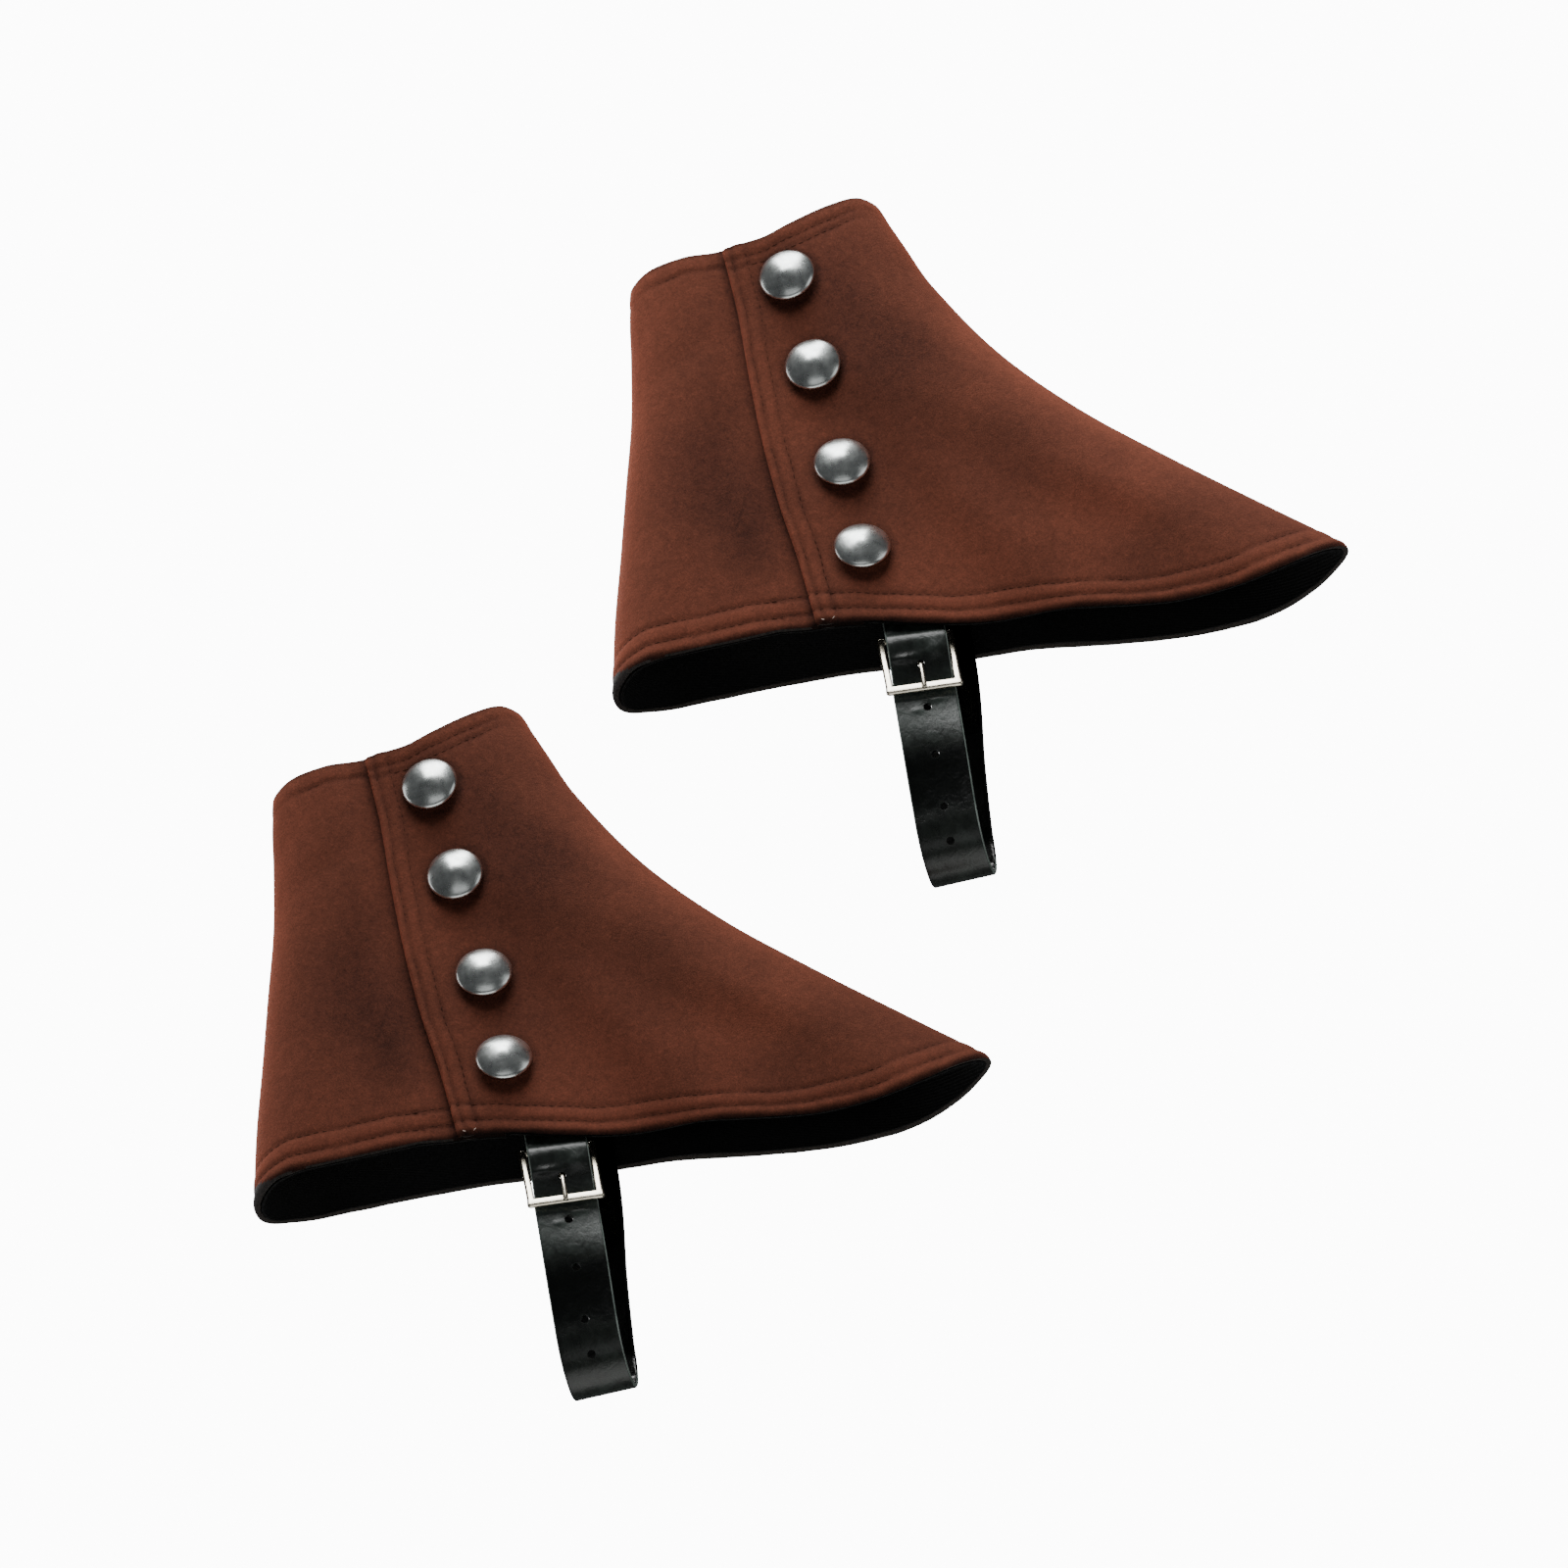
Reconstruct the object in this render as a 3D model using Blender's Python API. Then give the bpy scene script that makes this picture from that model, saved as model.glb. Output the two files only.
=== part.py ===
"""Pair of felt boot covers, standing hollow as they do round an ankle and instep.

Each cover has an outer front panel whose edge laps over the outer back panel, and an
inner side panel, sewn at the heel and along the instep ridge. A dark lining covers the
inside. Four domed buttons hold the lap, and a leather strap passes under the boot to a
small buckle inside the outer hem.

Frame: +X to the toe, +Z up the leg, -Y the buttoned outer side. Sizes are in metres.
The tables measure from the lowest point of the heel; ANKLE then becomes the origin.
"""
import math

import bmesh
import bpy
import numpy as np
from mathutils import Vector

# One cover and its pair, which hangs lower and further back
ANKLE = (0.0720, 0.0000, 0.1480)
PAIR_OFFSET = (-0.1486, 0.0000, -0.1555)

# Cloth
FELT = 0.0020
LINING = 0.0010
GAP = 0.0003
LINING_GAP = 0.0005
LINING_EDGE = 0.010
UNDERLAP = 0.031
UNDERLAP_AT_HEM = 0.016
UNDERLAP_CUT = (0.07, 0.18)
UNDERLAP_CLEAR = 0.0016
LAP_STEP = 0.012
LAP_CLEAR = 0.002

# Heel line, instep ridge and lap edge, from the hem (up 0) to the top rim (up 1)
SECTIONS = (
    # up, heel x, heel z, ridge x, ridge z, lap edge x
    (0.000, -0.0006, -0.0042, 0.2550, -0.0078, 0.0750),
    (0.167, 0.0042, 0.0225, 0.2270, 0.0158, 0.0725),
    (0.333, 0.0100, 0.0475, 0.1995, 0.0395, 0.0690),
    (0.500, 0.0155, 0.0720, 0.1730, 0.0638, 0.0668),
    (0.667, 0.0210, 0.0960, 0.1490, 0.0913, 0.0658),
    (0.833, 0.0246, 0.1200, 0.1301, 0.1220, 0.0655),
    (0.917, 0.0260, 0.1320, 0.1231, 0.1386, 0.0646),
    (1.000, 0.0280, 0.1437, 0.1164, 0.1550, 0.0635),
)
# The hem's opening: half its width, and how far it dips under a straight line
HEM = (
    # share of the way to the toe, half width, dip
    (0.00, 0.0217, 0.0000),
    (0.04, 0.0218, -0.0030),
    (0.15, 0.0218, -0.0036),
    (0.29, 0.0224, -0.0030),
    (0.37, 0.0214, -0.0007),
    (0.43, 0.0183, 0.0022),
    (0.50, 0.0152, 0.0050),
    (0.55, 0.0145, 0.0062),
    (0.62, 0.0170, 0.0078),
    (0.66, 0.0173, 0.0094),
    (0.76, 0.0161, 0.0130),
    (0.81, 0.0161, 0.0133),
    (0.87, 0.0165, 0.0119),
    (0.93, 0.0160, 0.0075),
    (1.00, 0.0150, 0.0000),
)
# The top rim's curve above a straight line from heel to ridge
RIM = (
    # share of the way to the ridge, rise
    (0.00, 0.0000),
    (0.10, 0.0014),
    (0.25, -0.0004),
    (0.42, -0.0030),
    (0.56, -0.0042),
    (0.68, -0.0020),
    (0.85, 0.0013),
    (0.94, 0.0022),
    (1.00, 0.0000),
)
ANKLE_HALF = 0.0175
HEEL_ROUND = (0.022, 0.044)
TOE_ROUND = (0.030, 0.044)

# Buttons
BUTTON_RADIUS = 0.0096
BUTTON_TILT = math.radians(10)
BUTTON_STANDOFF = 0.0007
BUTTONS = (
    # x, z
    (0.0846, 0.1283),
    (0.0882, 0.0939),
    (0.0925, 0.0555),
    (0.0947, 0.0222),
)
BUTTON_PROFILE = (
    # radius, height above the foot
    (0.0018, 0.0000),
    (0.0018, 0.0014),
    (0.0086, 0.0016),
    (0.0096, 0.0022),
    (0.0096, 0.0028),
)
BUTTON_DOME = 0.0048

# Strap, tab and buckle, beside the hem at STRAP_X
STRAP_X = 0.1074
STRAP_FAR_X = 0.1124
STRAP_WIDTH = 0.0216
STRAP_THICK = 0.0016
STRAP_NEAR = (
    # inward from the outer panel's face, z
    (0.0046, -0.0030),
    (0.0045, -0.0065),
    (0.0039, -0.0093),
    (0.0027, -0.0118),
    (0.0022, -0.0140),
    (0.0026, -0.0180),
    (0.0038, -0.0230),
    (0.0050, -0.0280),
    (0.0054, -0.0310),
    (0.0052, -0.0380),
    (0.0048, -0.0500),
    (0.0046, -0.0740),
)
STRAP_FAR = (
    # inward from the inner side's face, z
    (0.0046, -0.0740),
    (0.0046, -0.0500),
    (0.0045, -0.0200),
    (0.0044, 0.0120),
)
STRAP_LOW = -0.0958
STRAP_TURNS = (-0.035, -0.075)
STRAP_FAR_TURNS = (-0.074, -0.008)
LOOP_ANGLES = (15, 40, 65, 90, 115, 140, 165)
LOOP_SQUARENESS = 0.8
STRAP_HOLES = (-0.0222, -0.0380, -0.0560, -0.0748, -0.0868)
HOLE_RADIUS = 0.0015

PIVOT = (0.0083, -0.0098)
PIVOT_RADIUS = 0.0010
BUCKLE_LOW = (0.0028, -0.0308)
BUCKLE_THICK = 0.0020
BUCKLE_INNER = 0.0222
BUCKLE_SIDE = 0.0015
BUCKLE_BAR = 0.0030
BUCKLE_TOP = 0.0012
BUCKLE_CORNER = 0.0012
BUCKLE_FLARE = 0.0004
BUCKLE_EDGE = 0.0003

TAB_WIDTH = 0.0196
TAB_EYE = 0.0029
TAB_HOLE = 0.0017
TAB_THICK = 0.0026
TAB_NECK = (
    # inward from the outer panel's face, z
    (0.0083, -0.0080),
    (0.0079, -0.0045),
    (0.0067, 0.0000),
    (0.0055, 0.0040),
    (0.0051, 0.0085),
)
TAB_SLOT = 0.0040
TAB_SLOT_MARGIN = 0.0004

PRONG_RADIUS = 0.00065
PRONG_EYE = 0.0022
PRONG_HOOK = (-80, 180)
PRONG = (
    # inward from the outer panel's face, z
    (0.0060, -0.0140),
    (0.0054, -0.0195),
    (0.0050, -0.0216),
    (0.0023, -0.0227),
    (0.0014, -0.0255),
    (0.0007, -0.0302),
    (0.0005, -0.0322),
)

# Mesh fineness
ROWS = 10
SIDE_COLUMNS = 20
FRONT_COLUMNS = 12
BACK_COLUMNS = 7
BUTTON_SIDES = 16
DOME_RINGS = 4
HOLE_SIDES = 10
EYE_SIDES = 14
PRONG_SIDES = 6
STRAP_POINTS = 46
PRONG_POINTS = 40
SAMPLE = 1e-4
SHARP = math.radians(35)

MATERIALS = {
    # name: colour, roughness, metallic
    "felt": ((0.102, 0.030, 0.018, 1.0), 0.95, 0.0),
    "lining": ((0.004, 0.004, 0.005, 1.0), 0.80, 0.0),
    "leather": ((0.010, 0.012, 0.011, 1.0), 0.45, 0.0),
    "nickel": ((0.660, 0.620, 0.560, 1.0), 0.22, 1.0),
}


def smooth(table, at):
    """Smooth curve through a table's rows; the first column is the position."""
    rows = np.asarray(table, dtype=float)
    keys = rows[:, 0]
    at = min(max(at, keys[0]), keys[-1])
    i = int(np.searchsorted(keys, at, side="right")) - 1
    i = min(max(i, 0), len(keys) - 2)
    span = keys[i + 1] - keys[i]

    def slope(k):
        low, high = max(k - 1, 0), min(k + 1, len(keys) - 1)
        return (rows[high, 1:] - rows[low, 1:]) / (keys[high] - keys[low])

    s = (at - keys[i]) / span
    return ((2 * s**3 - 3 * s**2 + 1) * rows[i, 1:]
            + (s**3 - 2 * s**2 + s) * span * slope(i)
            + (3 * s**2 - 2 * s**3) * rows[i + 1, 1:]
            + (s**3 - s**2) * span * slope(i + 1))


def mix(low, high, share):
    return low + (high - low) * share


def ease(value):
    value = min(max(value, 0.0), 1.0)
    return value * value * (3 - 2 * value)


def round_end(distance, radius):
    """Quarter ellipse that closes a section at its heel or ridge."""
    short = 1 - min(distance, radius) / radius
    return math.sqrt(1 - short * short)


def wall_point(up, turn):
    """Outer face of the cloth. turn runs 0 at the heel to 1 at the ridge, outer side positive."""
    turn = (turn + 1) % 2 - 1
    share = (1 - math.cos(math.pi * abs(turn))) / 2
    heel_x, heel_z, ridge_x, ridge_z, _ = smooth(SECTIONS, up)
    half_hem, dip = smooth(HEM, share)
    rise = smooth(RIM, share)[0]
    length = ridge_x - heel_x
    half = mix(half_hem, ANKLE_HALF, up)
    half *= round_end(share * length, mix(*HEEL_ROUND, up))
    half *= round_end((1 - share) * length, mix(*TOE_ROUND, up))
    z = mix(heel_z, ridge_z, share) - dip * (1 - up)**3 + rise * up**3
    return np.array((heel_x + share * length, -math.copysign(half, turn), z))


def wall_normal(up, turn):
    low, high = max(up - SAMPLE, 0.0), min(up + SAMPLE, 1.0)
    along = wall_point(up, turn + SAMPLE) - wall_point(up, turn - SAMPLE)
    rising = wall_point(high, turn) - wall_point(low, turn)
    normal = np.cross(along, rising)
    return normal / np.linalg.norm(normal)


def inside(up, turn, depth):
    """Point at a depth inside the outer face."""
    return wall_point(up, turn) - wall_normal(up, turn) * depth


def turn_at(up, x):
    heel_x, _, ridge_x, _, _ = smooth(SECTIONS, up)
    share = (x - heel_x) / (ridge_x - heel_x)
    return math.acos(1 - 2 * share) / math.pi


def up_at(x, z):
    """Height share of the outer side at a place (x, z), by halving."""
    low, high = 0.0, 1.0
    for _ in range(40):
        middle = (low + high) / 2
        if wall_point(middle, turn_at(middle, x))[2] < z:
            low = middle
        else:
            high = middle
    return (low + high) / 2


def lap_x(up):
    return smooth(SECTIONS, up)[4]


def underlap_x(up):
    """Free edge of the back panel under the lap, cut away near the hem to clear the strap."""
    start, end = UNDERLAP_CUT
    return lap_x(up) + mix(UNDERLAP_AT_HEM, UNDERLAP, ease((up - start) / (end - start)))


def lap_sink(up, x):
    """How far the back panel dips under the front panel near the lap's edge."""
    start = lap_x(up) - LAP_CLEAR - LAP_STEP
    return (FELT + GAP) * ease((x - start) / LAP_STEP)


def lap_columns(up):
    """Turns that both panels share across the lap."""
    edge, free = lap_x(up), underlap_x(up)
    return [turn_at(up, mix(edge, free, share)) for share in (0.0, 0.33, 0.67, 1.0)]


def back_columns(up):
    """Turns of the back panel, from the heel to its free edge under the lap."""
    end = lap_x(up) - LAP_CLEAR
    turns = list(np.linspace(0.0, turn_at(up, end - LAP_STEP), BACK_COLUMNS))
    turns += [turn_at(up, end - LAP_STEP * share) for share in (0.67, 0.33, 0.0)]
    return turns + lap_columns(up)


def front_columns(up):
    """Turns of the front panel and its lining, from the underlap's free edge to the ridge."""
    return list(np.linspace(lap_columns(up)[-1], 1.0, FRONT_COLUMNS))


def side_columns():
    return list(np.linspace(0.0, 1.0, SIDE_COLUMNS))


def mesh_object(name, points, faces, material):
    mesh = bpy.data.meshes.new(name)
    mesh.from_pydata([tuple(p) for p in points], [], faces)
    body = bmesh.new()
    body.from_mesh(mesh)
    bmesh.ops.recalc_face_normals(body, faces=body.faces)
    body.to_mesh(mesh)
    body.free()
    obj = bpy.data.objects.new(name, mesh)
    bpy.context.scene.collection.objects.link(obj)
    mesh.materials.append(bpy.data.materials[material])
    return obj


def shell(name, outer, inner, material):
    """Closed wall between two equal grids of points."""
    rows, columns = len(outer), len(outer[0])
    points = [p for row in outer for p in row] + [p for row in inner for p in row]
    offset = rows * columns

    faces = []
    for r in range(rows - 1):
        for c in range(columns - 1):
            a = r * columns + c
            for corners in ((a, a + 1, a + columns + 1), (a, a + columns + 1, a + columns)):
                faces.append(corners)
                faces.append(tuple(offset + k for k in reversed(corners)))
    border = [c for c in range(columns)]
    border += [r * columns + columns - 1 for r in range(1, rows)]
    border += [(rows - 1) * columns + c for c in range(columns - 2, -1, -1)]
    border += [r * columns for r in range(rows - 2, 0, -1)]
    for a, b in zip(border, border[1:] + border[:1]):
        faces.append((b, a, offset + a, offset + b))
    return mesh_object(name, points, faces, material)


def felt_panel(name, columns_of, side, sink_of=None):
    """A panel of felt between its columns, moved off the middle by half a seam."""
    seam = np.array((0.0, -side * GAP / 2, 0.0))
    outer, inner = [], []
    for up in np.linspace(0.0, 1.0, ROWS):
        outer_row, inner_row = [], []
        for turn in sorted((side * turn for turn in columns_of(up)), reverse=True):
            sink = sink_of(up, wall_point(up, turn)[0]) if sink_of else 0.0
            outer_row.append(inside(up, turn, sink) + seam)
            inner_row.append(inside(up, turn, sink + FELT) + seam)
        outer.append(outer_row)
        inner.append(inner_row)
    return shell(name, outer, inner, "felt")


def outer_back():
    return felt_panel("outer_back", back_columns, 1, lap_sink)


def outer_front():
    return felt_panel("outer_front", lambda up: lap_columns(up) + front_columns(up)[1:], 1)


def inner_side():
    return felt_panel("inner_side", lambda up: side_columns(), -1)


def lining():
    """One dark skin from the back panel's free edge, round the heel and ridge, to short of it."""
    outer, inner = [], []
    for up in np.clip(np.linspace(0.0, 1.0, ROWS), LINING_EDGE, 1 - LINING_EDGE):
        front = front_columns(up)
        front[0] = turn_at(up, underlap_x(up) + UNDERLAP_CLEAR)
        turns = back_columns(up)[::-1] + [-turn for turn in side_columns()[1:]]
        turns += [turn - 2 for turn in front[-2::-1]]
        outer_row, inner_row = [], []
        for turn in turns:
            depth = FELT + LINING_GAP
            if turn > 0:
                depth += lap_sink(up, wall_point(up, turn)[0])
            outer_row.append(inside(up, turn, depth))
            inner_row.append(inside(up, turn, depth + LINING))
        outer.append(outer_row)
        inner.append(inner_row)
    return shell("lining", outer, inner, "lining")


def turned(name, profile, material):
    """Solid of revolution about Z with a flat foot and a point at the top."""
    sides = BUTTON_SIDES
    top_height = profile[-1][1]
    rings = profile[:-1]
    points = [(0.0, 0.0, rings[0][1])]
    for radius, height in rings:
        for k in range(sides):
            angle = 2 * math.pi * k / sides
            points.append((radius * math.cos(angle), radius * math.sin(angle), height))
    points.append((0.0, 0.0, top_height))
    faces = []
    for k in range(sides):
        following = (k + 1) % sides
        faces.append((0, 1 + following, 1 + k))
        for ring in range(len(rings) - 1):
            low, high = 1 + ring * sides, 1 + (ring + 1) * sides
            faces.append((low + k, low + following, high + following, high + k))
        last = 1 + (len(rings) - 1) * sides
        faces.append((last + k, last + following, len(points) - 1))
    return mesh_object(name, points, faces, material)


def button(number, x, z):
    base = BUTTON_PROFILE[-1][1]
    dome = [(BUTTON_RADIUS * math.cos(a), base + BUTTON_DOME * math.sin(a))
            for a in (math.pi / 2 * k / DOME_RINGS for k in range(1, DOME_RINGS + 1))]
    obj = turned(f"button_{number}", list(BUTTON_PROFILE) + dome, "nickel")
    up = up_at(x, z)
    turn = turn_at(up, x)
    normal = Vector(wall_normal(up, turn))
    sideways = normal.cross(Vector((0, 0, 1))).normalized()
    rising = sideways.cross(normal)
    axis = normal * math.cos(BUTTON_TILT) + rising * math.sin(BUTTON_TILT)
    turn_up = axis.to_track_quat("Z", "Y").to_matrix().to_4x4()
    foot = Vector(wall_point(up, turn)) + normal * BUTTON_STANDOFF
    obj.data.transform(turn_up)
    for vertex in obj.data.vertices:
        vertex.co += foot
    return obj


class Beside:
    """Frame on the wall's face at the hem: along the wall, inward, and up."""

    def __init__(self, x, side):
        turn = turn_at(0.0, x) * side
        step = STRAP_WIDTH / 2
        ahead = wall_point(0.0, turn_at(0.0, x + step) * side)
        behind = wall_point(0.0, turn_at(0.0, x - step) * side)
        self.yaw = math.atan2(ahead[1] - behind[1], ahead[0] - behind[0])
        self.base = wall_point(0.0, turn)
        self.along = np.array((math.cos(self.yaw), math.sin(self.yaw), 0.0))
        self.inward = np.array((-math.sin(self.yaw), math.cos(self.yaw), 0.0)) * side

    def lean(self, z):
        """How far the wall leans in at a height above the hem."""
        x = self.base[0]
        up = up_at(x, z)
        return abs(self.base[1]) - abs(wall_point(up, turn_at(up, x))[1])

    def point(self, along, inward, z):
        spot = self.base + self.along * along + self.inward * (inward + self.lean(z))
        return np.array((spot[0], spot[1], z))


def lengths_along(points):
    steps = np.linalg.norm(np.diff(points[:, :3], axis=0), axis=1)
    return np.concatenate(([0.0], np.cumsum(steps)))


def curve_through(points, count):
    """Evenly spaced points on a smooth curve through the given ones."""
    points = np.asarray(points, dtype=float)
    lengths = lengths_along(points)
    table = np.column_stack((lengths, points))
    fine = np.array([smooth(table, at) for at in np.linspace(0.0, lengths[-1], count * 8)])
    lengths = lengths_along(fine)
    return np.array([[np.interp(at, lengths, fine[:, k]) for k in range(fine.shape[1])]
                     for at in np.linspace(0.0, lengths[-1], count)])


def strap_path(near, far):
    """Middle line of the strap with its yaw, from the free end round the loop to the inner side."""
    rows = []
    for inward, z in STRAP_NEAR:
        share = ease((z - STRAP_TURNS[0]) / (STRAP_TURNS[1] - STRAP_TURNS[0]))
        rows.append((*near.point(0.0, inward, z), near.yaw * (1 - share)))
    shift = near.base[0] - far.base[0]
    near_foot, far_foot = np.array(rows[-1][:3]), far.point(shift, *STRAP_FAR[0])
    radius = (far_foot[1] - near_foot[1]) / 2
    depth = STRAP_LOW + STRAP_THICK / 2 - near_foot[2]
    for angle in LOOP_ANGLES:
        x = mix(near_foot[0], far_foot[0], angle / 180)
        y = near_foot[1] + radius * (1 - math.cos(math.radians(angle)))
        drop = depth * math.sin(math.radians(angle))**LOOP_SQUARENESS
        rows.append((x, y, near_foot[2] + drop, 0.0))
    for inward, z in STRAP_FAR:
        share = ease((z - STRAP_FAR_TURNS[0]) / (STRAP_FAR_TURNS[1] - STRAP_FAR_TURNS[0]))
        rows.append((*far.point(shift * (1 - share), inward, z), far.yaw * share))
    return curve_through(rows, STRAP_POINTS)


def band(name, path, width, thick, material):
    """Flat band along a path whose last column is its yaw."""
    count = len(path)
    points, frames = [], []
    for i, (x, y, z, yaw) in enumerate(path):
        before, after = path[max(i - 1, 0)][:3], path[min(i + 1, count - 1)][:3]
        tangent = (after - before) / np.linalg.norm(after - before)
        across = np.array((math.cos(yaw), math.sin(yaw), 0.0))
        across -= tangent * np.dot(across, tangent)
        across /= np.linalg.norm(across)
        normal = np.cross(tangent, across)
        centre = np.array((x, y, z))
        frames.append((centre, normal))
        for a, n in ((-1, -1), (1, -1), (1, 1), (-1, 1)):
            points.append(centre + across * a * width / 2 + normal * n * thick / 2)
    faces = [(3, 2, 1, 0)]
    for i in range(count - 1):
        for k in range(4):
            a, b = 4 * i + k, 4 * i + (k + 1) % 4
            faces.append((a, b, b + 4, a + 4))
    last = 4 * (count - 1)
    faces.append((last, last + 1, last + 2, last + 3))
    return mesh_object(name, points, faces, material), frames


def cut(target, cutter):
    """Take a cutter out of a solid and throw the cutter away."""
    change = target.modifiers.new("cut", "BOOLEAN")
    change.operation = "DIFFERENCE"
    change.solver = "EXACT"
    change.object = cutter
    bake(target)
    bpy.data.objects.remove(cutter)


def join(target, other):
    change = target.modifiers.new("join", "BOOLEAN")
    change.operation = "UNION"
    change.solver = "EXACT"
    change.object = other
    bake(target)
    bpy.data.objects.remove(other)


def bake(obj):
    graph = bpy.context.evaluated_depsgraph_get()
    mesh = bpy.data.meshes.new_from_object(obj.evaluated_get(graph))
    obj.modifiers.clear()
    obj.data = mesh


def rod_between(name, start, end, radius, sides, material):
    start, end = np.asarray(start, dtype=float), np.asarray(end, dtype=float)
    axis = Vector(end - start)
    turn = axis.to_track_quat("Z", "Y").to_matrix()
    points = []
    for base in (start, end):
        for k in range(sides):
            angle = 2 * math.pi * k / sides
            spoke = Vector((radius * math.cos(angle), radius * math.sin(angle), 0.0))
            points.append(base + np.array(turn @ spoke))
    faces = [tuple(reversed(range(sides))), tuple(range(sides, 2 * sides))]
    for k in range(sides):
        following = (k + 1) % sides
        faces.append((k, following, sides + following, sides + k))
    return mesh_object(name, points, faces, material)


def strap(near, far):
    obj, frames = band("strap", strap_path(near, far), STRAP_WIDTH, STRAP_THICK, "leather")
    outer_half = frames[:len(frames) // 2]
    heights = [-centre[2] for centre, _ in outer_half]
    for z in STRAP_HOLES:
        centre = np.array([np.interp(-z, heights, [c[k] for c, _ in outer_half]) for k in range(3)])
        normal = min(outer_half, key=lambda frame: abs(frame[0][2] - z))[1]
        reach = normal * STRAP_THICK
        punch = rod_between("punch", centre - reach, centre + reach, HOLE_RADIUS, HOLE_SIDES, "leather")
        cut(obj, punch)
    return obj


def extruded(name, outline, frame, low, high, material):
    """Outline of (inward, z) points drawn out along the wall."""
    count = len(outline)
    points = [frame.point(along, inward, z) for along in (low, high) for inward, z in outline]
    faces = [tuple(range(count)), tuple(reversed(range(count, 2 * count)))]
    for k in range(count):
        following = (k + 1) % count
        faces.append((k, count + k, count + following, following))
    return mesh_object(name, points, faces, material)


def tab(near):
    """Leather tab folded round the buckle's top bar and sewn inside the outer panel."""
    neck = curve_through([(a, 0.0, z) for a, z in TAB_NECK], 8)
    left, right = [], []
    for i, (inward, _, z) in enumerate(neck):
        before, after = neck[max(i - 1, 0)], neck[min(i + 1, len(neck) - 1)]
        slope = np.array((after[0] - before[0], after[2] - before[2]))
        slope /= np.linalg.norm(slope)
        across = np.array((-slope[1], slope[0])) * TAB_THICK / 2
        left.append((inward + across[0], z + across[1]))
        right.append((inward - across[0], z - across[1]))
    start = math.asin(TAB_THICK / 2 / TAB_EYE)
    eye = [(PIVOT[0] + TAB_EYE * math.sin(a), PIVOT[1] + TAB_EYE * math.cos(a))
           for a in np.linspace(-start, -2 * math.pi + start, EYE_SIDES + 1)]
    outline = eye + right[1:] + left[:0:-1]
    obj = extruded("tab", outline, near, -TAB_WIDTH / 2, TAB_WIDTH / 2, "leather")
    ends = [near.point(side * TAB_WIDTH * 0.6, *PIVOT) for side in (-1, 1)]
    cut(obj, rod_between("eye", *ends, TAB_HOLE, EYE_SIDES, "leather"))
    inward, z = PIVOT
    half = TAB_EYE + TAB_SLOT_MARGIN
    box = [(inward + i * half, z + up * half) for i, up in ((-1, -1), (1, -1), (1, 1), (-1, 1))]
    cut(obj, extruded("slot", box, near, -TAB_SLOT / 2, TAB_SLOT / 2, "leather"))
    return obj


def buckle_frame(near):
    """Flat three-sided frame closed by a round top bar, which carries the tab and prong."""
    run = np.array(BUCKLE_LOW) - np.array(PIVOT)
    length = float(np.linalg.norm(run))
    run /= length
    out = np.array((run[1], -run[0]))
    half = BUCKLE_INNER / 2
    top, low_in, low_out = -BUCKLE_TOP, length - BUCKLE_BAR / 2, length + BUCKLE_BAR / 2
    corner = BUCKLE_CORNER
    wide, foot = half + BUCKLE_SIDE, half + BUCKLE_SIDE + BUCKLE_FLARE
    outline = [
        (-wide, top), (-foot, low_out - corner), (-wide + corner, low_out),
        (wide - corner, low_out), (foot, low_out - corner), (wide, top),
        (half, top), (half, low_in - corner), (half - corner, low_in),
        (-half + corner, low_in), (-half, low_in - corner), (-half, top),
    ]
    count = len(outline)
    points = []
    for level in (-BUCKLE_THICK / 2, BUCKLE_THICK / 2):
        for along, down in outline:
            inward, z = np.array(PIVOT) + run * down + out * level
            points.append(near.point(along, inward, z))
    faces = [tuple(range(count)), tuple(reversed(range(count, 2 * count)))]
    for k in range(count):
        following = (k + 1) % count
        faces.append((k, count + k, count + following, following))
    obj = mesh_object("buckle_frame", points, faces, "nickel")
    round_edges = obj.modifiers.new("round", "BEVEL")
    round_edges.width = BUCKLE_EDGE
    round_edges.segments = 1
    round_edges.limit_method = "ANGLE"
    round_edges.angle_limit = math.radians(40)
    bake(obj)
    ends = [near.point(side * (half + BUCKLE_SIDE / 2), *PIVOT) for side in (-1, 1)]
    join(obj, rod_between("bar", *ends, PIVOT_RADIUS, EYE_SIDES, "nickel"))
    return obj


def prong(near):
    """Wire hooked round the top bar, through a strap hole, its tip on the lower bar."""
    eye = [(PIVOT[0] + PRONG_EYE * math.cos(a), PIVOT[1] + PRONG_EYE * math.sin(a))
           for a in np.radians(np.linspace(*PRONG_HOOK, EYE_SIDES))]
    route = [near.point(0.0, inward, z) for inward, z in eye + list(PRONG)]
    path = curve_through(route, PRONG_POINTS)
    sides = PRONG_SIDES
    points = []
    for i, centre in enumerate(path):
        before, after = path[max(i - 1, 0)], path[min(i + 1, len(path) - 1)]
        tangent = (after - before) / np.linalg.norm(after - before)
        across = near.along
        normal = np.cross(tangent, across)
        for k in range(sides):
            angle = 2 * math.pi * k / sides
            points.append(centre + PRONG_RADIUS * (across * math.cos(angle) + normal * math.sin(angle)))
    faces = [tuple(reversed(range(sides)))]
    for i in range(len(path) - 1):
        for k in range(sides):
            a, b = i * sides + k, i * sides + (k + 1) % sides
            faces.append((a, b, b + sides, a + sides))
    faces.append(tuple(range((len(path) - 1) * sides, len(path) * sides)))
    return mesh_object("prong", points, faces, "nickel")


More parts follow.
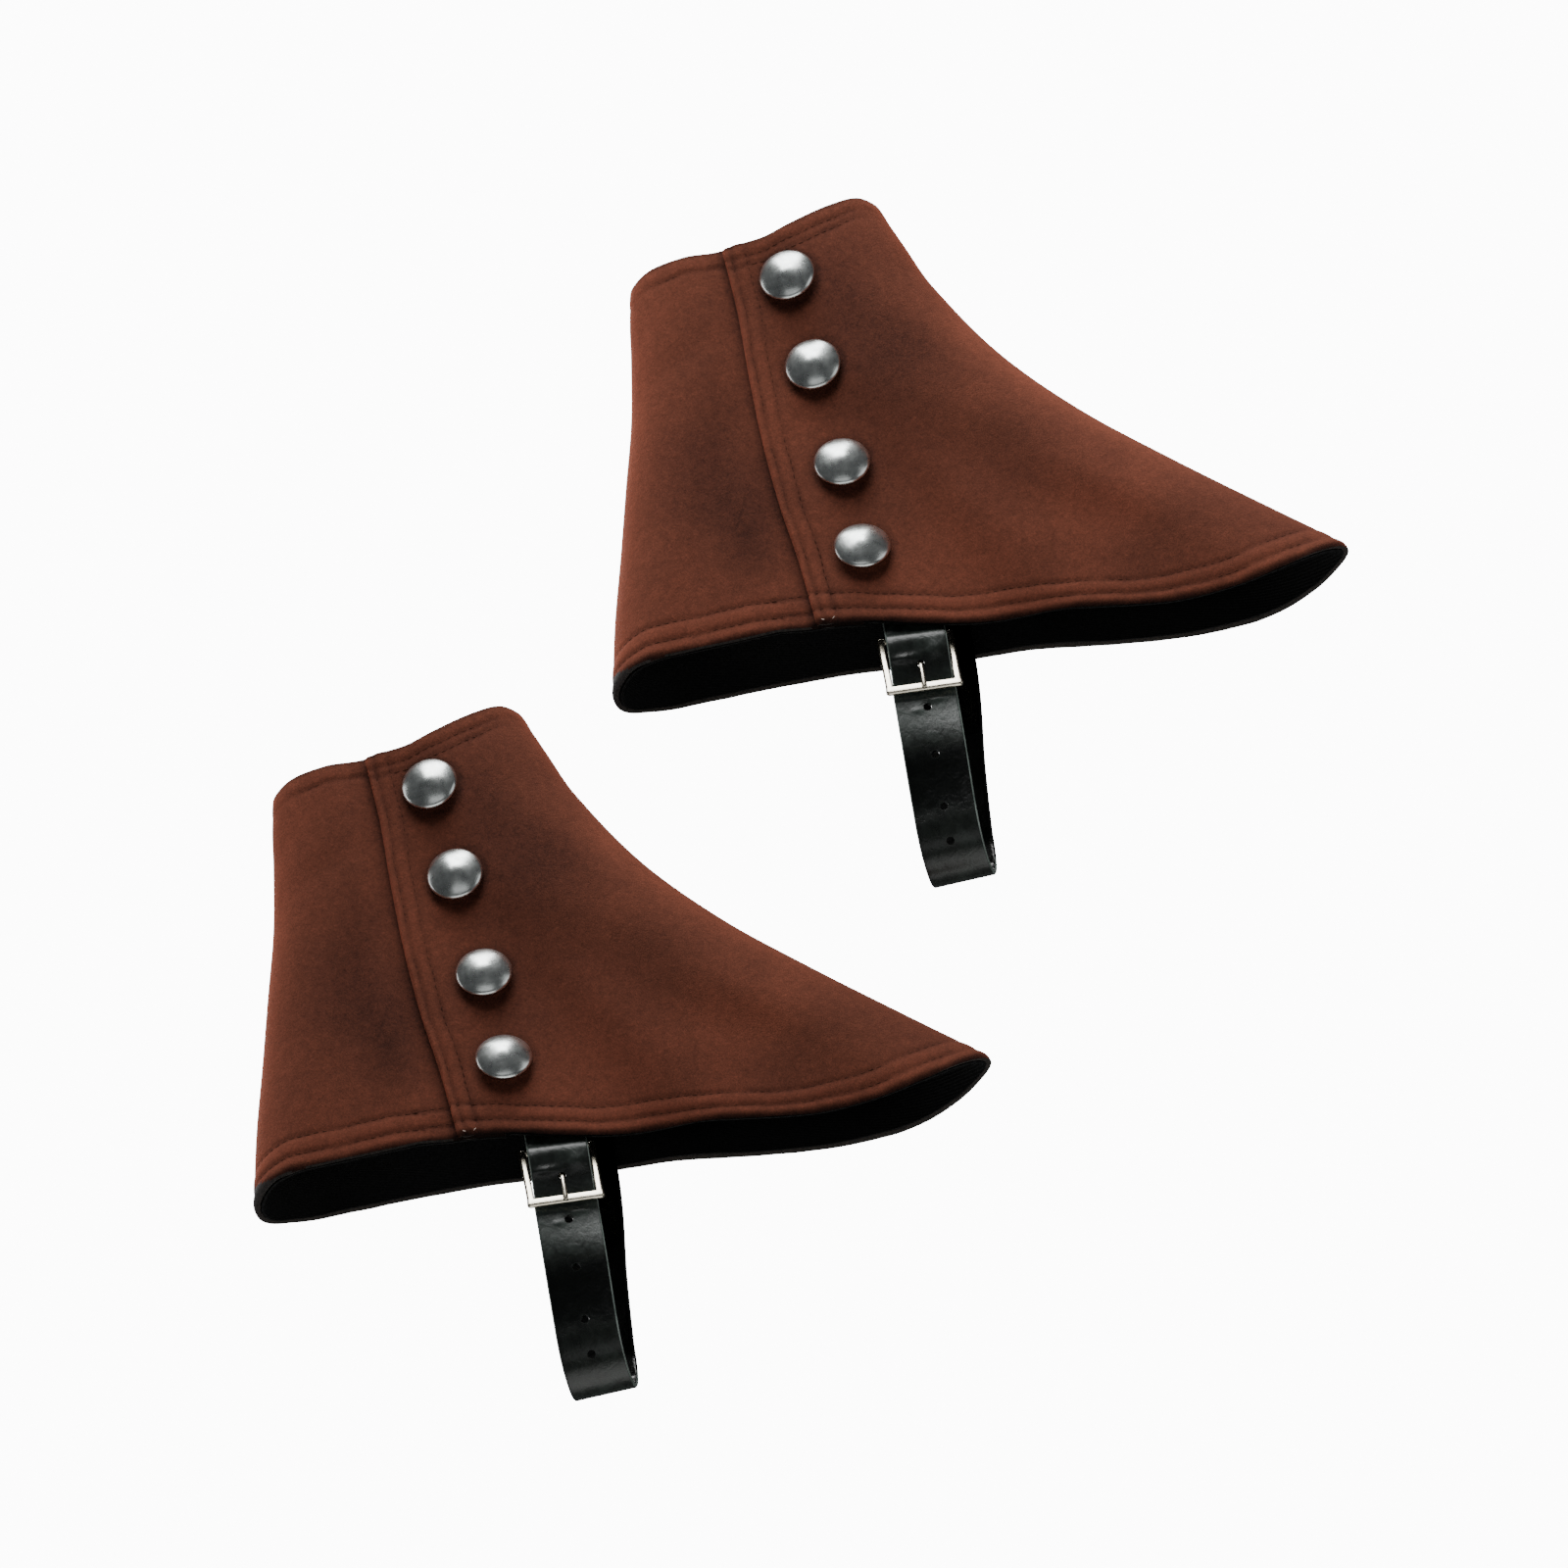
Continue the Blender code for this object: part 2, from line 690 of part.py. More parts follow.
def make_materials():
    for name, (colour, roughness, metallic) in MATERIALS.items():
        material = bpy.data.materials.new(name)
        material.use_nodes = True
        shader = material.node_tree.nodes["Principled BSDF"]
        shader.inputs["Base Color"].default_value = colour
        shader.inputs["Roughness"].default_value = roughness
        shader.inputs["Metallic"].default_value = metallic


def cover():
    """All the pieces of one cover, in the tables' frame."""
    near, far = Beside(STRAP_X, 1), Beside(STRAP_FAR_X, -1)
    pieces = [outer_front(), outer_back(), inner_side(), lining()]
    pieces += [button(k + 1, *place) for k, place in enumerate(BUTTONS)]
    pieces += [strap(near, far), tab(near), buckle_frame(near), prong(near)]
    return pieces


def main():
    for obj in list(bpy.data.objects):
        bpy.data.objects.remove(obj)
    make_materials()
    origin = Vector(ANKLE)
    for piece in cover():
        piece.data.shade_smooth()
        piece.data.set_sharp_from_angle(angle=SHARP)
        piece.data.transform(piece.matrix_world)
        for vertex in piece.data.vertices:
            vertex.co -= origin
        name = piece.name
        piece.name = f"first_{name}"
        twin = bpy.data.objects.new(f"second_{name}", piece.data)
        twin.location = PAIR_OFFSET
        bpy.context.scene.collection.objects.link(twin)


main()
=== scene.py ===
from math import atan2, copysign, cos, radians, sin
import bpy
import numpy as np
from mathutils import Matrix, Vector


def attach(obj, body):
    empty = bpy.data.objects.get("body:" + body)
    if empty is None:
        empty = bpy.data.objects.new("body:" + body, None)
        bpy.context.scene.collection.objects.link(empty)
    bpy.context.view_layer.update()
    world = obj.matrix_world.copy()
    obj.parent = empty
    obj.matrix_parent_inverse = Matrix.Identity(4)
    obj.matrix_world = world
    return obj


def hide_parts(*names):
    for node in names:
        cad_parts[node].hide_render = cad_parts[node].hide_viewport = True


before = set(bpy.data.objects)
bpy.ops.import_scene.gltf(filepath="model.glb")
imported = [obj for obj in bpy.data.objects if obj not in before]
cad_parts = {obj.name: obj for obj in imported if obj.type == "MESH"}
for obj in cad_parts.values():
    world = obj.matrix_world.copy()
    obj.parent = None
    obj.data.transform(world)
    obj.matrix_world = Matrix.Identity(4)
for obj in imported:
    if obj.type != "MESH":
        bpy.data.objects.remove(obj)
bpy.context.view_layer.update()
print("frame loaded:", len(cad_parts), "solids")

# Places are in metres from the lowest point of the first cover's heel:
# x to the toe, z up the leg, and -y the buttoned side
form = {
    "ankle": (0.072, 0.0, 0.148),          # middle of the ankle opening, which is the frame's origin
    "pairStep": (-0.1486, 0.0, -0.1555),   # from the first cover to the second
    "ankleHalf": 0.0175,                   # half the ankle's width
    "heelRound": (0.022, 0.044),           # reach of the heel's rounding, at the hem and at the rim
    "toeRound": (0.03, 0.044),             # and of the ridge's
    "edgeFade": 3,                         # power by which the hem's and rim's curves die away
    "seam": 0.0003,                        # between sewn pieces
    "feltSolid": 0.002,                    # felt in the frame's solids
}
sectionRows = (  # up, heel x, heel z, ridge x, ridge z, lap edge x
    (0.0, -0.0006, -0.0042, 0.255, -0.0078, 0.075),
    (0.167, 0.0042, 0.0225, 0.227, 0.0158, 0.0725),
    (0.333, 0.01, 0.0475, 0.1995, 0.0395, 0.069),
    (0.5, 0.0155, 0.072, 0.173, 0.0638, 0.0668),
    (0.667, 0.021, 0.096, 0.149, 0.0913, 0.0658),
    (0.833, 0.0246, 0.12, 0.1301, 0.122, 0.0655),
    (0.917, 0.026, 0.132, 0.1231, 0.1386, 0.0646),
    (1.0, 0.028, 0.1437, 0.1164, 0.155, 0.0635),
)
hemRows = (  # share of the way to the toe, half width, dip
    (0.0, 0.0217, 0.0), (0.04, 0.0218, -0.003), (0.15, 0.0218, -0.0036),
    (0.29, 0.0224, -0.003), (0.37, 0.0214, -0.0007), (0.43, 0.0183, 0.0022),
    (0.5, 0.0152, 0.005), (0.55, 0.0145, 0.0062), (0.62, 0.017, 0.0078), (0.66, 0.0173, 0.0094),
    (0.76, 0.0161, 0.013), (0.81, 0.0161, 0.0133), (0.87, 0.0165, 0.0119), (0.93, 0.016, 0.0075),
    (1.0, 0.015, 0.0),
)
rimRows = (  # share of the way to the ridge, rise
    (0.0, 0.0), (0.1, 0.0014), (0.25, -0.0004), (0.42, -0.003), (0.56, -0.0042),
    (0.68, -0.002), (0.85, 0.0013), (0.94, 0.0022), (1.0, 0.0),
)
creaseRows = (  # side, x, z, half length and half width in mm, lean in degrees, depth in mm
    (1, 48, 68, 30, 11, 80, 1.1), (1, 30, 90, 34, 7, 76, -0.6), (1, 42, 108, 16, 6, 20, 0.5),
    (1, 82, 76, 14, 6, 60, 0.6), (1, 95, 39, 16, 7, 40, 0.7), (1, 100, 108, 20, 7, 118, 0.6),
    (1, 121, 74, 30, 10, 132, -0.7), (1, 132, 50, 34, 10, 136, 0.9), (1, 170, 33, 30, 8, 150, -0.6),
    (1, 180, 15, 34, 8, 160, 0.4), (-1, 44, 60, 30, 10, 84, 1), (-1, 64, 101, 26, 8, 74, -0.6),
    (-1, 83, 64, 30, 9, 98, 0.8), (-1, 105, 90, 24, 8, 120, -0.6), (-1, 127, 52, 34, 10, 134, 0.9),
    (-1, 166, 33, 32, 8, 148, -0.6), (-1, 184, 14, 30, 8, 158, 0.7),
)
paintedShadeRows = (  # the same, with a tone in place of the depth: painted shade where it is negative, as in hollows and below the buttons, and painted sheen where it is positive, as along the heel and the ridge
    (1, 48, 66, 30, 14, 80, -0.23), (1, 59, 36, 20, 10, 78, -0.34), (1, 40, 95, 16, 12, 60, -0.06),
    (1, 40, 127, 12, 10, 0, 0.05), (1, 8, 70, 90, 12, 76, 0.24), (1, 94, 76, 10, 5, 170, -0.1),
    (1, 99, 39, 12, 6, 160, -0.12), (1, 100, 118, 26, 16, 100, -0.1),
    (1, 114, 104, 36, 22, 118, -0.31), (1, 142, 48, 40, 18, 150, -0.05),
    (1, 225, 6, 30, 14, 165, -0.2), (1, 183, 19, 36, 14, 160, 0.26),
    (1, 150, 86, 80, 6, 136, 0.14), (-1, 44, 60, 30, 14, 84, -0.15), (-1, 8, 70, 90, 12, 76, 0.2),
    (-1, 96, 80, 24, 14, 110, -0.12), (-1, 130, 40, 30, 16, 150, -0.1),
    (-1, 150, 86, 80, 6, 136, 0.14),
)


def columns(table, at):  # soft curves through a table's rows, whose first column is the place
    rows = np.asarray(table, dtype=float)
    keys, values = rows[:, 0], rows[:, 1:]
    slopes = np.empty_like(values)
    slopes[1:-1] = (values[2:] - values[:-2]) / (keys[2:] - keys[:-2])[:, None]
    slopes[0] = (values[1] - values[0]) / (keys[1] - keys[0])
    slopes[-1] = (values[-1] - values[-2]) / (keys[-1] - keys[-2])
    at = np.clip(at, keys[0], keys[-1])
    i = np.clip(np.searchsorted(keys, at, side="right") - 1, 0, len(keys) - 2)
    span = (keys[i + 1] - keys[i])[..., None]
    s = (at - keys[i])[..., None] / span
    curves = ((2 * s**3 - 3 * s**2 + 1) * values[i] + (s**3 - 2 * s**2 + s) * span * slopes[i]
              + (3 * s**2 - 2 * s**3) * values[i + 1] + (s**3 - s**2) * span * slopes[i + 1])
    return np.moveaxis(curves, -1, 0)


def mix(low, high, share):
    return low + (high - low) * share


def ease(value):
    value = np.clip(value, 0.0, 1.0)
    return value * value * (3 - 2 * value)


def fade(at, low, high, start, width):
    return mix(low, high, ease((at - start) / width))


def bell(distance, width):
    return np.exp(-(distance / width)**2)


def roundEnd(distance, radius):
    short = 1 - np.minimum(distance, radius) / radius
    return np.sqrt(1 - short * short)


def softSpots(rows, side, x, z):  # sum of soft leaning spots, each on one side of the cover
    total = np.zeros_like(x)
    for rowSide, *sizes, lean, most in rows:
        rowX, rowZ, halfLength, halfWidth = np.array(sizes) / 1000
        c, s = cos(radians(lean)), sin(radians(lean))
        along, across = (x - rowX) * c + (z - rowZ) * s, (z - rowZ) * c - (x - rowX) * s
        total += np.where(side == rowSide, most, 0.0) * bell(along, halfLength) * bell(across, halfWidth)
    return total


# Up runs from 0 at the hem to 1 at the rim, and turn from 0 at the heel to 1 at the ridge,
# or to -1 on the inner side

def wallPoint(up, turn, creased=False):
    up, turn = np.broadcast_arrays(np.asarray(up, float), np.asarray(turn, float))
    turn = (turn + 1) % 2 - 1
    side = np.where(turn < 0, -1.0, 1.0)
    share = (1 - np.cos(np.pi * np.abs(turn))) / 2
    heelX, heelZ, ridgeX, ridgeZ, _ = columns(sectionRows, up)
    halfHem, dip = columns(hemRows, share)
    rise = columns(rimRows, share)[0]
    length = ridgeX - heelX
    x = heelX + share * length
    z = mix(heelZ, ridgeZ, share) - dip * (1 - up)**form["edgeFade"] + rise * up**form["edgeFade"]
    ends = (roundEnd(share * length, mix(*form["heelRound"], up))
            * roundEnd((1 - share) * length, mix(*form["toeRound"], up)))
    half = mix(halfHem, form["ankleHalf"], up) * ends
    if creased:
        half = half - softSpots(creaseRows, side, x, z) / 1000 * ends
    return np.stack((x, -side * half, z), -1)


def wallNormal(up, turn, creased=False):
    small = 1e-4
    along = wallPoint(up, turn + small, creased) - wallPoint(up, turn - small, creased)
    rising = (wallPoint(np.minimum(up + small, 1), turn, creased)
              - wallPoint(np.maximum(up - small, 0), turn, creased))
    normal = np.cross(along, rising)
    return normal / np.linalg.norm(normal, axis=-1, keepdims=True)


def clothPoints(up, turn, depth, side):  # a depth inside the creased wall, and half a seam to its side
    points = wallPoint(up, turn, True) - wallNormal(up, turn, True) * np.asarray(depth)[..., None]
    points[..., 1] -= side * form["seam"] / 2
    return points


def turnAt(up, x):
    heelX, _, ridgeX, _, _ = columns(sectionRows, np.asarray(up, float))
    return np.arccos(1 - 2 * (x - heelX) / (ridgeX - heelX)) / np.pi


def upAt(x, z):  # on the outer side, by halving
    low, high = 0.0, 1.0
    for _ in range(40):
        middle = (low + high) / 2
        if wallPoint(middle, turnAt(middle, x))[2] < z:
            low = middle
        else:
            high = middle
    return (low + high) / 2


def lapX(up):
    return columns(sectionRows, np.asarray(up, float))[4]


def fromEdge(edge, up, turn):  # distance along the cloth from the hem, edge 0, or the rim, edge 1
    step = 0.08
    nearby = wallPoint(abs(edge - step), turn) - wallPoint(float(edge), turn)
    return np.abs(up - edge) * np.linalg.norm(nearby, axis=-1) / step


def lengthsAlong(points):
    return np.concatenate(([0.0], np.cumsum(np.linalg.norm(np.diff(points[:, :3], axis=0), axis=1))))


def readAlong(lengths, values, at):
    return np.stack([np.interp(at, lengths, values[:, k]) for k in range(values.shape[1])], -1)


# Modelling helpers

def nothingSelected():
    if bpy.context.object and bpy.context.object.mode != "OBJECT":
        bpy.ops.object.mode_set(mode="OBJECT")
    bpy.ops.object.select_all(action="DESELECT")


def makeActive(*pieces):  # selects the pieces, and the last of them is active
    nothingSelected()
    for piece in pieces:
        piece.select_set(True)
    bpy.context.view_layer.objects.active = pieces[-1]


def addPrimitive(operator, **options):
    nothingSelected()
    operator(**options)
    return bpy.context.object


def addPellet(segments, rings, size):
    pellet = addPrimitive(bpy.ops.mesh.primitive_uv_sphere_add, segments=segments, ring_count=rings,
                          radius=1.0)
    pellet.scale = size
    bpy.ops.object.transform_apply()
    return pellet


def addObject(name, data):
    piece = bpy.data.objects.new(name, data)
    bpy.context.scene.collection.objects.link(piece)
    return piece


def addMesh(name, points, faces):
    mesh = bpy.data.meshes.new(name)
    mesh.from_pydata(points.reshape(-1, 3).tolist(), [], faces)
    return addObject(name, mesh)


def addModifier(piece, kind, **settings):
    modifier = piece.modifiers.new(kind.lower(), kind)
    for name, value in settings.items():
        setattr(modifier, name, value)


def applyModifiers(piece):
    makeActive(piece)
    for modifier in list(piece.modifiers):
        bpy.ops.object.modifier_apply(modifier=modifier.name)


def editAll(piece):
    makeActive(piece)
    bpy.ops.object.mode_set(mode="EDIT")
    bpy.ops.mesh.select_all(action="SELECT")


def turnFacesOut():  # and leaves edit mode
    bpy.ops.mesh.select_all(action="SELECT")
    bpy.ops.mesh.normals_make_consistent(inside=False)
    bpy.ops.object.mode_set(mode="OBJECT")


def joined(*pieces):  # into the last one
    makeActive(*pieces)
    bpy.ops.object.join()
    return pieces[-1]


def placeMesh(piece, matrix):  # moves the mesh itself, so the object stays at the origin
    piece.data.transform(matrix)
    piece.matrix_world = Matrix.Identity(4)


def pointsOf(piece):
    co = np.zeros(len(piece.data.vertices) * 3)
    piece.data.vertices.foreach_get("co", co)
    return co.reshape(-1, 3)


def cornersOf(piece):  # the point at each corner of each face
    corners = np.zeros(len(piece.data.loops), np.int32)
    piece.data.loops.foreach_get("vertex_index", corners)
    return corners


def setAttribute(piece, name, values):  # a number or a place for each point, which materials read
    values = np.asarray(values)
    single = values.size == len(piece.data.vertices)
    attribute = piece.data.attributes.new(name, "FLOAT" if single else "FLOAT_VECTOR", "POINT")
    attribute.data.foreach_set("value" if single else "vector", values.reshape(-1))


def sheetThrough(name, points):  # a grid of cloth laid through rows of points, with its UV map in metres
    rows, across = points.shape[:2]
    sheet = addPrimitive(bpy.ops.mesh.primitive_grid_add, x_subdivisions=across - 1,
                         y_subdivisions=rows - 1, size=1)
    sheet.name = name
    sheet.data.vertices.foreach_set("co", points.reshape(-1))
    flat = [np.cumsum(np.linalg.norm(np.diff(points, axis=axis, prepend=start), axis=-1), axis=axis)
            for axis, start in ((1, points[:, :1]), (0, points[:1]))]
    flat = np.stack(flat, -1).reshape(-1, 2)
    sheet.data.uv_layers[0].data.foreach_set("uv", flat[cornersOf(sheet)].reshape(-1))
    return sheet


def finishPiece(piece, *materials, angle=40):  # finish, shading and the pattern's own coordinates
    slots = piece.data.materials
    while len(slots) > len(materials):
        slots.pop()
    for i, name in enumerate(materials):
        if i < len(slots):
            slots[i] = bpy.data.materials[name]
        else:
            slots.append(bpy.data.materials[name])
    makeActive(piece)
    bpy.ops.object.shade_smooth_by_angle(angle=radians(angle))
    setAttribute(piece, "place", pointsOf(piece))
    placeMesh(piece, Matrix.Translation(-Vector(form["ankle"])))
    return piece


# Materials

def hexColour(text):
    parts = [int(text[i:i + 2], 16) / 255 for i in (1, 3, 5)]
    return (*[p / 12.92 if p <= 0.04045 else ((p + 0.055) / 1.055)**2.4 for p in parts], 1.0)


def setUp(node, settings=None, links=None):  # capital names and numbers are sockets, others properties
    for name, value in (settings or {}).items():
        if name == "stops":    # of a colour ramp: place and hex colour
            while len(node.color_ramp.elements) < len(value):
                node.color_ramp.elements.new(0.5)
            for element, (place, colour) in zip(node.color_ramp.elements, value):
                element.position = place
                element.color = hexColour(colour)
        elif isinstance(name, int) or name[0].isupper():
            node.inputs[name].default_value = value
        else:
            setattr(node, name, value)
    for name, source in (links or {}).items():
        node.id_data.links.new(source, node.inputs[name])


def addNode(tree, kind, output, settings=None, links=None):
    node = tree.nodes.new("ShaderNode" + kind)
    setUp(node, settings, links)
    return node.outputs[output]


def newMaterial(name, settings):
    material = bpy.data.materials.new(name)
    material.use_nodes = True
    shader = material.node_tree.nodes["Principled BSDF"]
    setUp(shader, settings)
    return material.node_tree, shader


def addUp(tree, terms, start):  # start + the sum of share * source
    total = None
    for source, share in terms:
        links = {0: source} if total is None else {0: source, 2: total}
        total = addNode(tree, "Math", 0, {"operation": "MULTIPLY_ADD", 1: share, 2: start}, links)
    return total


def perMetre(millimetres):  # a pattern's scale from the size of what it draws
    return 1000 / millimetres


def dress(tree, shader, tones, tone, relief=None, height=None):  # its colour and its relief
    links = {"Base Color": addNode(tree, "ValToRGB", "Color", {"stops": tones}, {"Fac": tone})}
    if relief:
        links["Normal"] = addNode(tree, "Bump", "Normal", relief, {"Height": height})
    setUp(shader, links=links)


def readPlace(tree):  # links a pattern to the piece's own coordinates
    return {"Vector": addNode(tree, "Attribute", "Vector", {"attribute_name": "place"})}


felt = {
    "tones": ((0.0, "#0f0806"), (0.25, "#331a13"), (0.5, "#583023"), (0.75, "#794231"), (1.0, "#a0604a")),
    "patch": {"Scale": perMetre(40), "Detail": 1.0},
    "mottle": {"Scale": perMetre(3.2), "Detail": 4.0, "Roughness": 0.62, "Distortion": 0.4},
    "fibre": {"Scale": perMetre(0.8), "Detail": 3.0, "Roughness": 0.7, "Distortion": 1.2},
    "shares": {"patch": 0.28, "mottle": 0.26, "fibre": 0.44}, "shadeShare": 0.5,
    "nap": {"Strength": 0.6, "Distance": 0.00035}, "mottleNap": 0.6,
    "sheen": 0.5, "sheenTint": "#c9674a",
}
leather = {
    "tones": ((0.0, "#010201"), (0.3, "#050706"), (0.5, "#141815"), (0.75, "#323a36"), (1.0, "#5d6662")),
    # the cut edges' grey, paler than the face, lightened further as painted highlight
    "edgeTones": ((0.3, "#4c5651"), (0.7, "#7b8580")),
    "cloud": {"Scale": perMetre(9), "Detail": 3.0},
    "crumple": {"Scale": perMetre(3.0), "Detail": 4.0, "Distortion": 1.0},
    "grain": {"Scale": perMetre(0.9)},
    "cloudTone": 0.35, "crumpleTone": 0.25, "shadeTone": 0.5, "startTone": 0.2,
    "roughness": 0.23, "crumpleRough": 0.14, "shadeRough": 0.16,
    "relief": {"Strength": 0.35, "Distance": 0.0004}, "grainRelief": 0.1,
}


def woolFelt():  # pressed wool with a short nap: matt, mottled, and redder where it is seen along the nap
    tree, shader = newMaterial("woolFelt", {
        "Roughness": 0.95, "Specular IOR Level": 0.15, "Sheen Weight": felt["sheen"],
        "Sheen Roughness": 0.45, "Sheen Tint": hexColour(felt["sheenTint"])})
    place = readPlace(tree)
    # the shade attribute carries painted shade and painted highlight into the felt's tone
    shade = addNode(tree, "Attribute", "Fac", {"attribute_name": "shade"})
    noise = {name: addNode(tree, "TexNoise", "Fac", felt[name], place) for name in felt["shares"]}
    terms = [(noise[name], share) for name, share in felt["shares"].items()]
    middle = 0.5 - sum(felt["shares"].values()) / 2
    tone = addUp(tree, (*terms, (shade, felt["shadeShare"])), middle)
    height = addUp(tree, ((noise["fibre"], 1.0), (noise["mottle"], felt["mottleNap"])), 0.0)
    dress(tree, shader, felt["tones"], tone, felt["nap"], height)


def feltEdgeAndHemShade():  # the felt's raw edge under the lining's turned edge, nearly black; also laid on the felt along the hem as painted shade
    tree, shader = newMaterial("feltEdgeAndHemShade", {"Roughness": 0.95})
    fibre = addNode(tree, "TexNoise", "Fac", {"Scale": perMetre(0.8), "Detail": 4.0}, readPlace(tree))
    tones = ((0.35, "#0e0a08"), (0.65, "#2b2420"))
    dress(tree, shader, tones, fibre, {"Strength": 0.5, "Distance": 0.0003}, fibre)


def liningTwill():  # black cotton twill, its diagonal ribs drawn 1 mm apart so that they show
    tree, shader = newMaterial("liningTwill", {"Roughness": 0.85, "Specular IOR Level": 0.2})
    flat = addNode(tree, "TexCoord", "UV")
    diagonal = addNode(tree, "Mapping", "Vector", {"Rotation": (0.0, 0.0, radians(58))},
                       {"Vector": flat})
    waveLength = 6.3    # of the node's bands at scale 1
    ribs = addNode(tree, "TexWave", "Fac", {"Scale": perMetre(1.0) / waveLength, "Distortion": 0.3},
                   {"Vector": diagonal})
    tones = ((0.2, "#050505"), (0.8, "#0f0f10"))
    dress(tree, shader, tones, ribs, {"Strength": 0.4, "Distance": 0.0002}, ribs)


def sewingThread(name, low, high):  # polyester thread, sunk in the felt, and its paler cut ends
    tree, shader = newMaterial(name, {"Roughness": 0.9, "Specular IOR Level": 0.1})
    twist = addNode(tree, "TexNoise", "Fac", {"Scale": perMetre(1.4), "Detail": 2.0}, readPlace(tree))
    dress(tree, shader, ((0.3, low), (0.7, high)), twist)


def strapLeather(name, tones, withPaintedLight):  # coated black leather with a satin, greenish sheen and a fine grain
    tree, shader = newMaterial(name, {"Specular IOR Level": 0.34})
    place = readPlace(tree)
    cloud = addNode(tree, "TexNoise", "Fac", leather["cloud"], place)
    grain = addNode(tree, "TexVoronoi", "Distance", leather["grain"], place)
    crumple = addNode(tree, "TexNoise", "Fac", leather["crumple"], place)
    tone, dull = cloud, [(crumple, leather["crumpleRough"])]
    if withPaintedLight:    # painted highlight and painted shade from the shade attribute, and glossier where it is painted darker
        shade = addNode(tree, "Attribute", "Fac", {"attribute_name": "shade"})
        tone = addUp(tree, ((cloud, leather["cloudTone"]), (crumple, leather["crumpleTone"]),
                            (shade, leather["shadeTone"])), leather["startTone"])
        dull.append((shade, leather["shadeRough"]))
    height = addUp(tree, ((grain, leather["grainRelief"]), (crumple, 1.0)), 0.0)
    dress(tree, shader, tones, tone, leather["relief"], height)
    setUp(shader, links={"Roughness": addUp(tree, dull, leather["roughness"])})


def polishedNickel(name, low, high, roughLow, roughHigh):  # plated and buffed, so its gloss varies softly
    tree, shader = newMaterial(name, {"Metallic": 1.0})
    marks = addNode(tree, "TexNoise", "Fac", {"Scale": perMetre(2.5), "Detail": 4.0}, readPlace(tree))
    dress(tree, shader, ((0.3, low), (0.7, high)), marks)
    rough = addNode(tree, "MapRange", "Result", {"To Min": roughLow, "To Max": roughHigh}, {"Value": marks})
    setUp(shader, links={"Roughness": rough})
    return tree, shader


def turnedSteel(*values):  # the same, finished in a lathe, with faint rings about the button's middle
    tree, shader = polishedNickel(*values)
    radius = addNode(tree, "Attribute", "Fac", {"attribute_name": "radius"})
    rings = addNode(tree, "TexNoise", "Fac", {"noise_dimensions": "1D", "Scale": perMetre(0.3),
                    "Detail": 3.0}, {"W": radius})
    marks = addNode(tree, "Bump", "Normal", {"Strength": 0.25, "Distance": 0.00006}, {"Height": rings})
    setUp(shader, links={"Normal": marks})


woolFelt()
feltEdgeAndHemShade()
liningTwill()
sewingThread("sewingThread", "#2f1810", "#4c2a1e")
sewingThread("threadEnds", "#8d7468", "#c4b2a8")
strapLeather("strapLeather", leather["tones"], True)
strapLeather("leatherEdgeAndHighlight", leather["edgeTones"], False)
turnedSteel("buttonSteel", "#abb0ae", "#c6cac8", 0.25, 0.31)
polishedNickel("buckleNickel", "#c2bba9", "#d8d1c1", 0.2, 0.3)
print("materials made")

# Felt panels, and the buttons' places that they are pressed in by

button = {
    "places": (  # x, z and how far it leans up, in degrees
        (0.0845, 0.1288, 8), (0.0879, 0.0944, 6), (0.092, 0.056, 8), (0.0942, 0.0227, 12),
    ),
    "standoff": 0.0004, "sides": 72,
    "dimple": 0.0003, "dimpleWidth": 0.0125,                         # pressed into the felt
    "ringTone": 0.3, "ringRadius": 0.01, "ringWidth": 0.0015,        # of the shadow round it
    "profile": (  # radius, height above the foot, in mm
        (1.8, 0), (1.9, 0.4), (8.4, 0.65), (9.25, 0.9), (9.6, 1.4), (9.6, 1.7), (9.45, 2.2),
        (9.1, 2.68), (8.6, 3.12), (7, 4.1), (5.6, 4.77), (4.2, 5.34), (3, 5.74), (2, 6.01),
        (1.2, 6.16), (0.5, 6.22),
    ),
}
felting = {
    "thickness": 0.0018, "height": 0.15,
    "rowStep": 0.002, "edgeRowStep": 0.0007, "edgeZone": 0.017,
    "heelColumns": 28, "sinkColumns": 16, "underColumns": 12,
    "lapColumns": 20, "frontColumns": 90, "innerColumns": 120, "lapZone": 0.011,
    "sinkStep": 0.012, "sinkClear": 0.002,
    "underlap": (0.016, 0.031, 0.07, 0.11),    # past the lap, low and high, from where, over how much
    "cornerDrop": 0.001, "dropPower": 40, "dropWidth": 0.003,        # where the lap meets the rim
}
sewing = {
    "hem": (0.0056, 0.012),          # stitch rows above the hem
    "rimFront": (0.005, 0.0086),     # below the rim, on the front panel
    "rimBack": (0.0064,),            # and on the others
    "lap": (0.0027, 0.0076),         # behind the lap's folded edge
    "hemPull": (0.4, 1.0, 0.0, 0.012),        # depth at the ends and beyond, from where, over how much
    "rimPull": (0.2, 0.75, 0.002, 0.014),
    "lapPull": (1.0, 0.45, 0.02, 0.08), "firstLapPull": 0.8,
    "grooveWidth": 0.0011, "grooveDepth": 0.0003, "grooveShade": 0.27,
    "puff": 0.00022, "edgePuff": 0.8, "puffPower": 0.7, "puffShade": 0.1,
    "strays": ((0.00028, 210, 0.7), (0.00016, 517, 2.1)),     # how far, how often, from where
    "rimStray": 0.4, "lapStray": 0.2, "lapSteady": 0.6,       # so that the rows don't wander alike
    "pull": (0.78, 0.22), "pullRates": (96, 231), "pullStart": 1.3,
    "pitch": 0.0029, "stitch": 0.0021, "thread": 0.00017, "plump": 1.25, "proud": 0.35,
    "ends": (0.03, 0.97), "rimEnds": (0.06, 0.93), "lapEnds": (0.012, 0.988), "toLap": 0.016,
    "rowPoints": 240, "lapPoints": 120,
    "readUp": (0.08, 0.95),          # how far up the x of a row is read, beside the hem and the rim
}
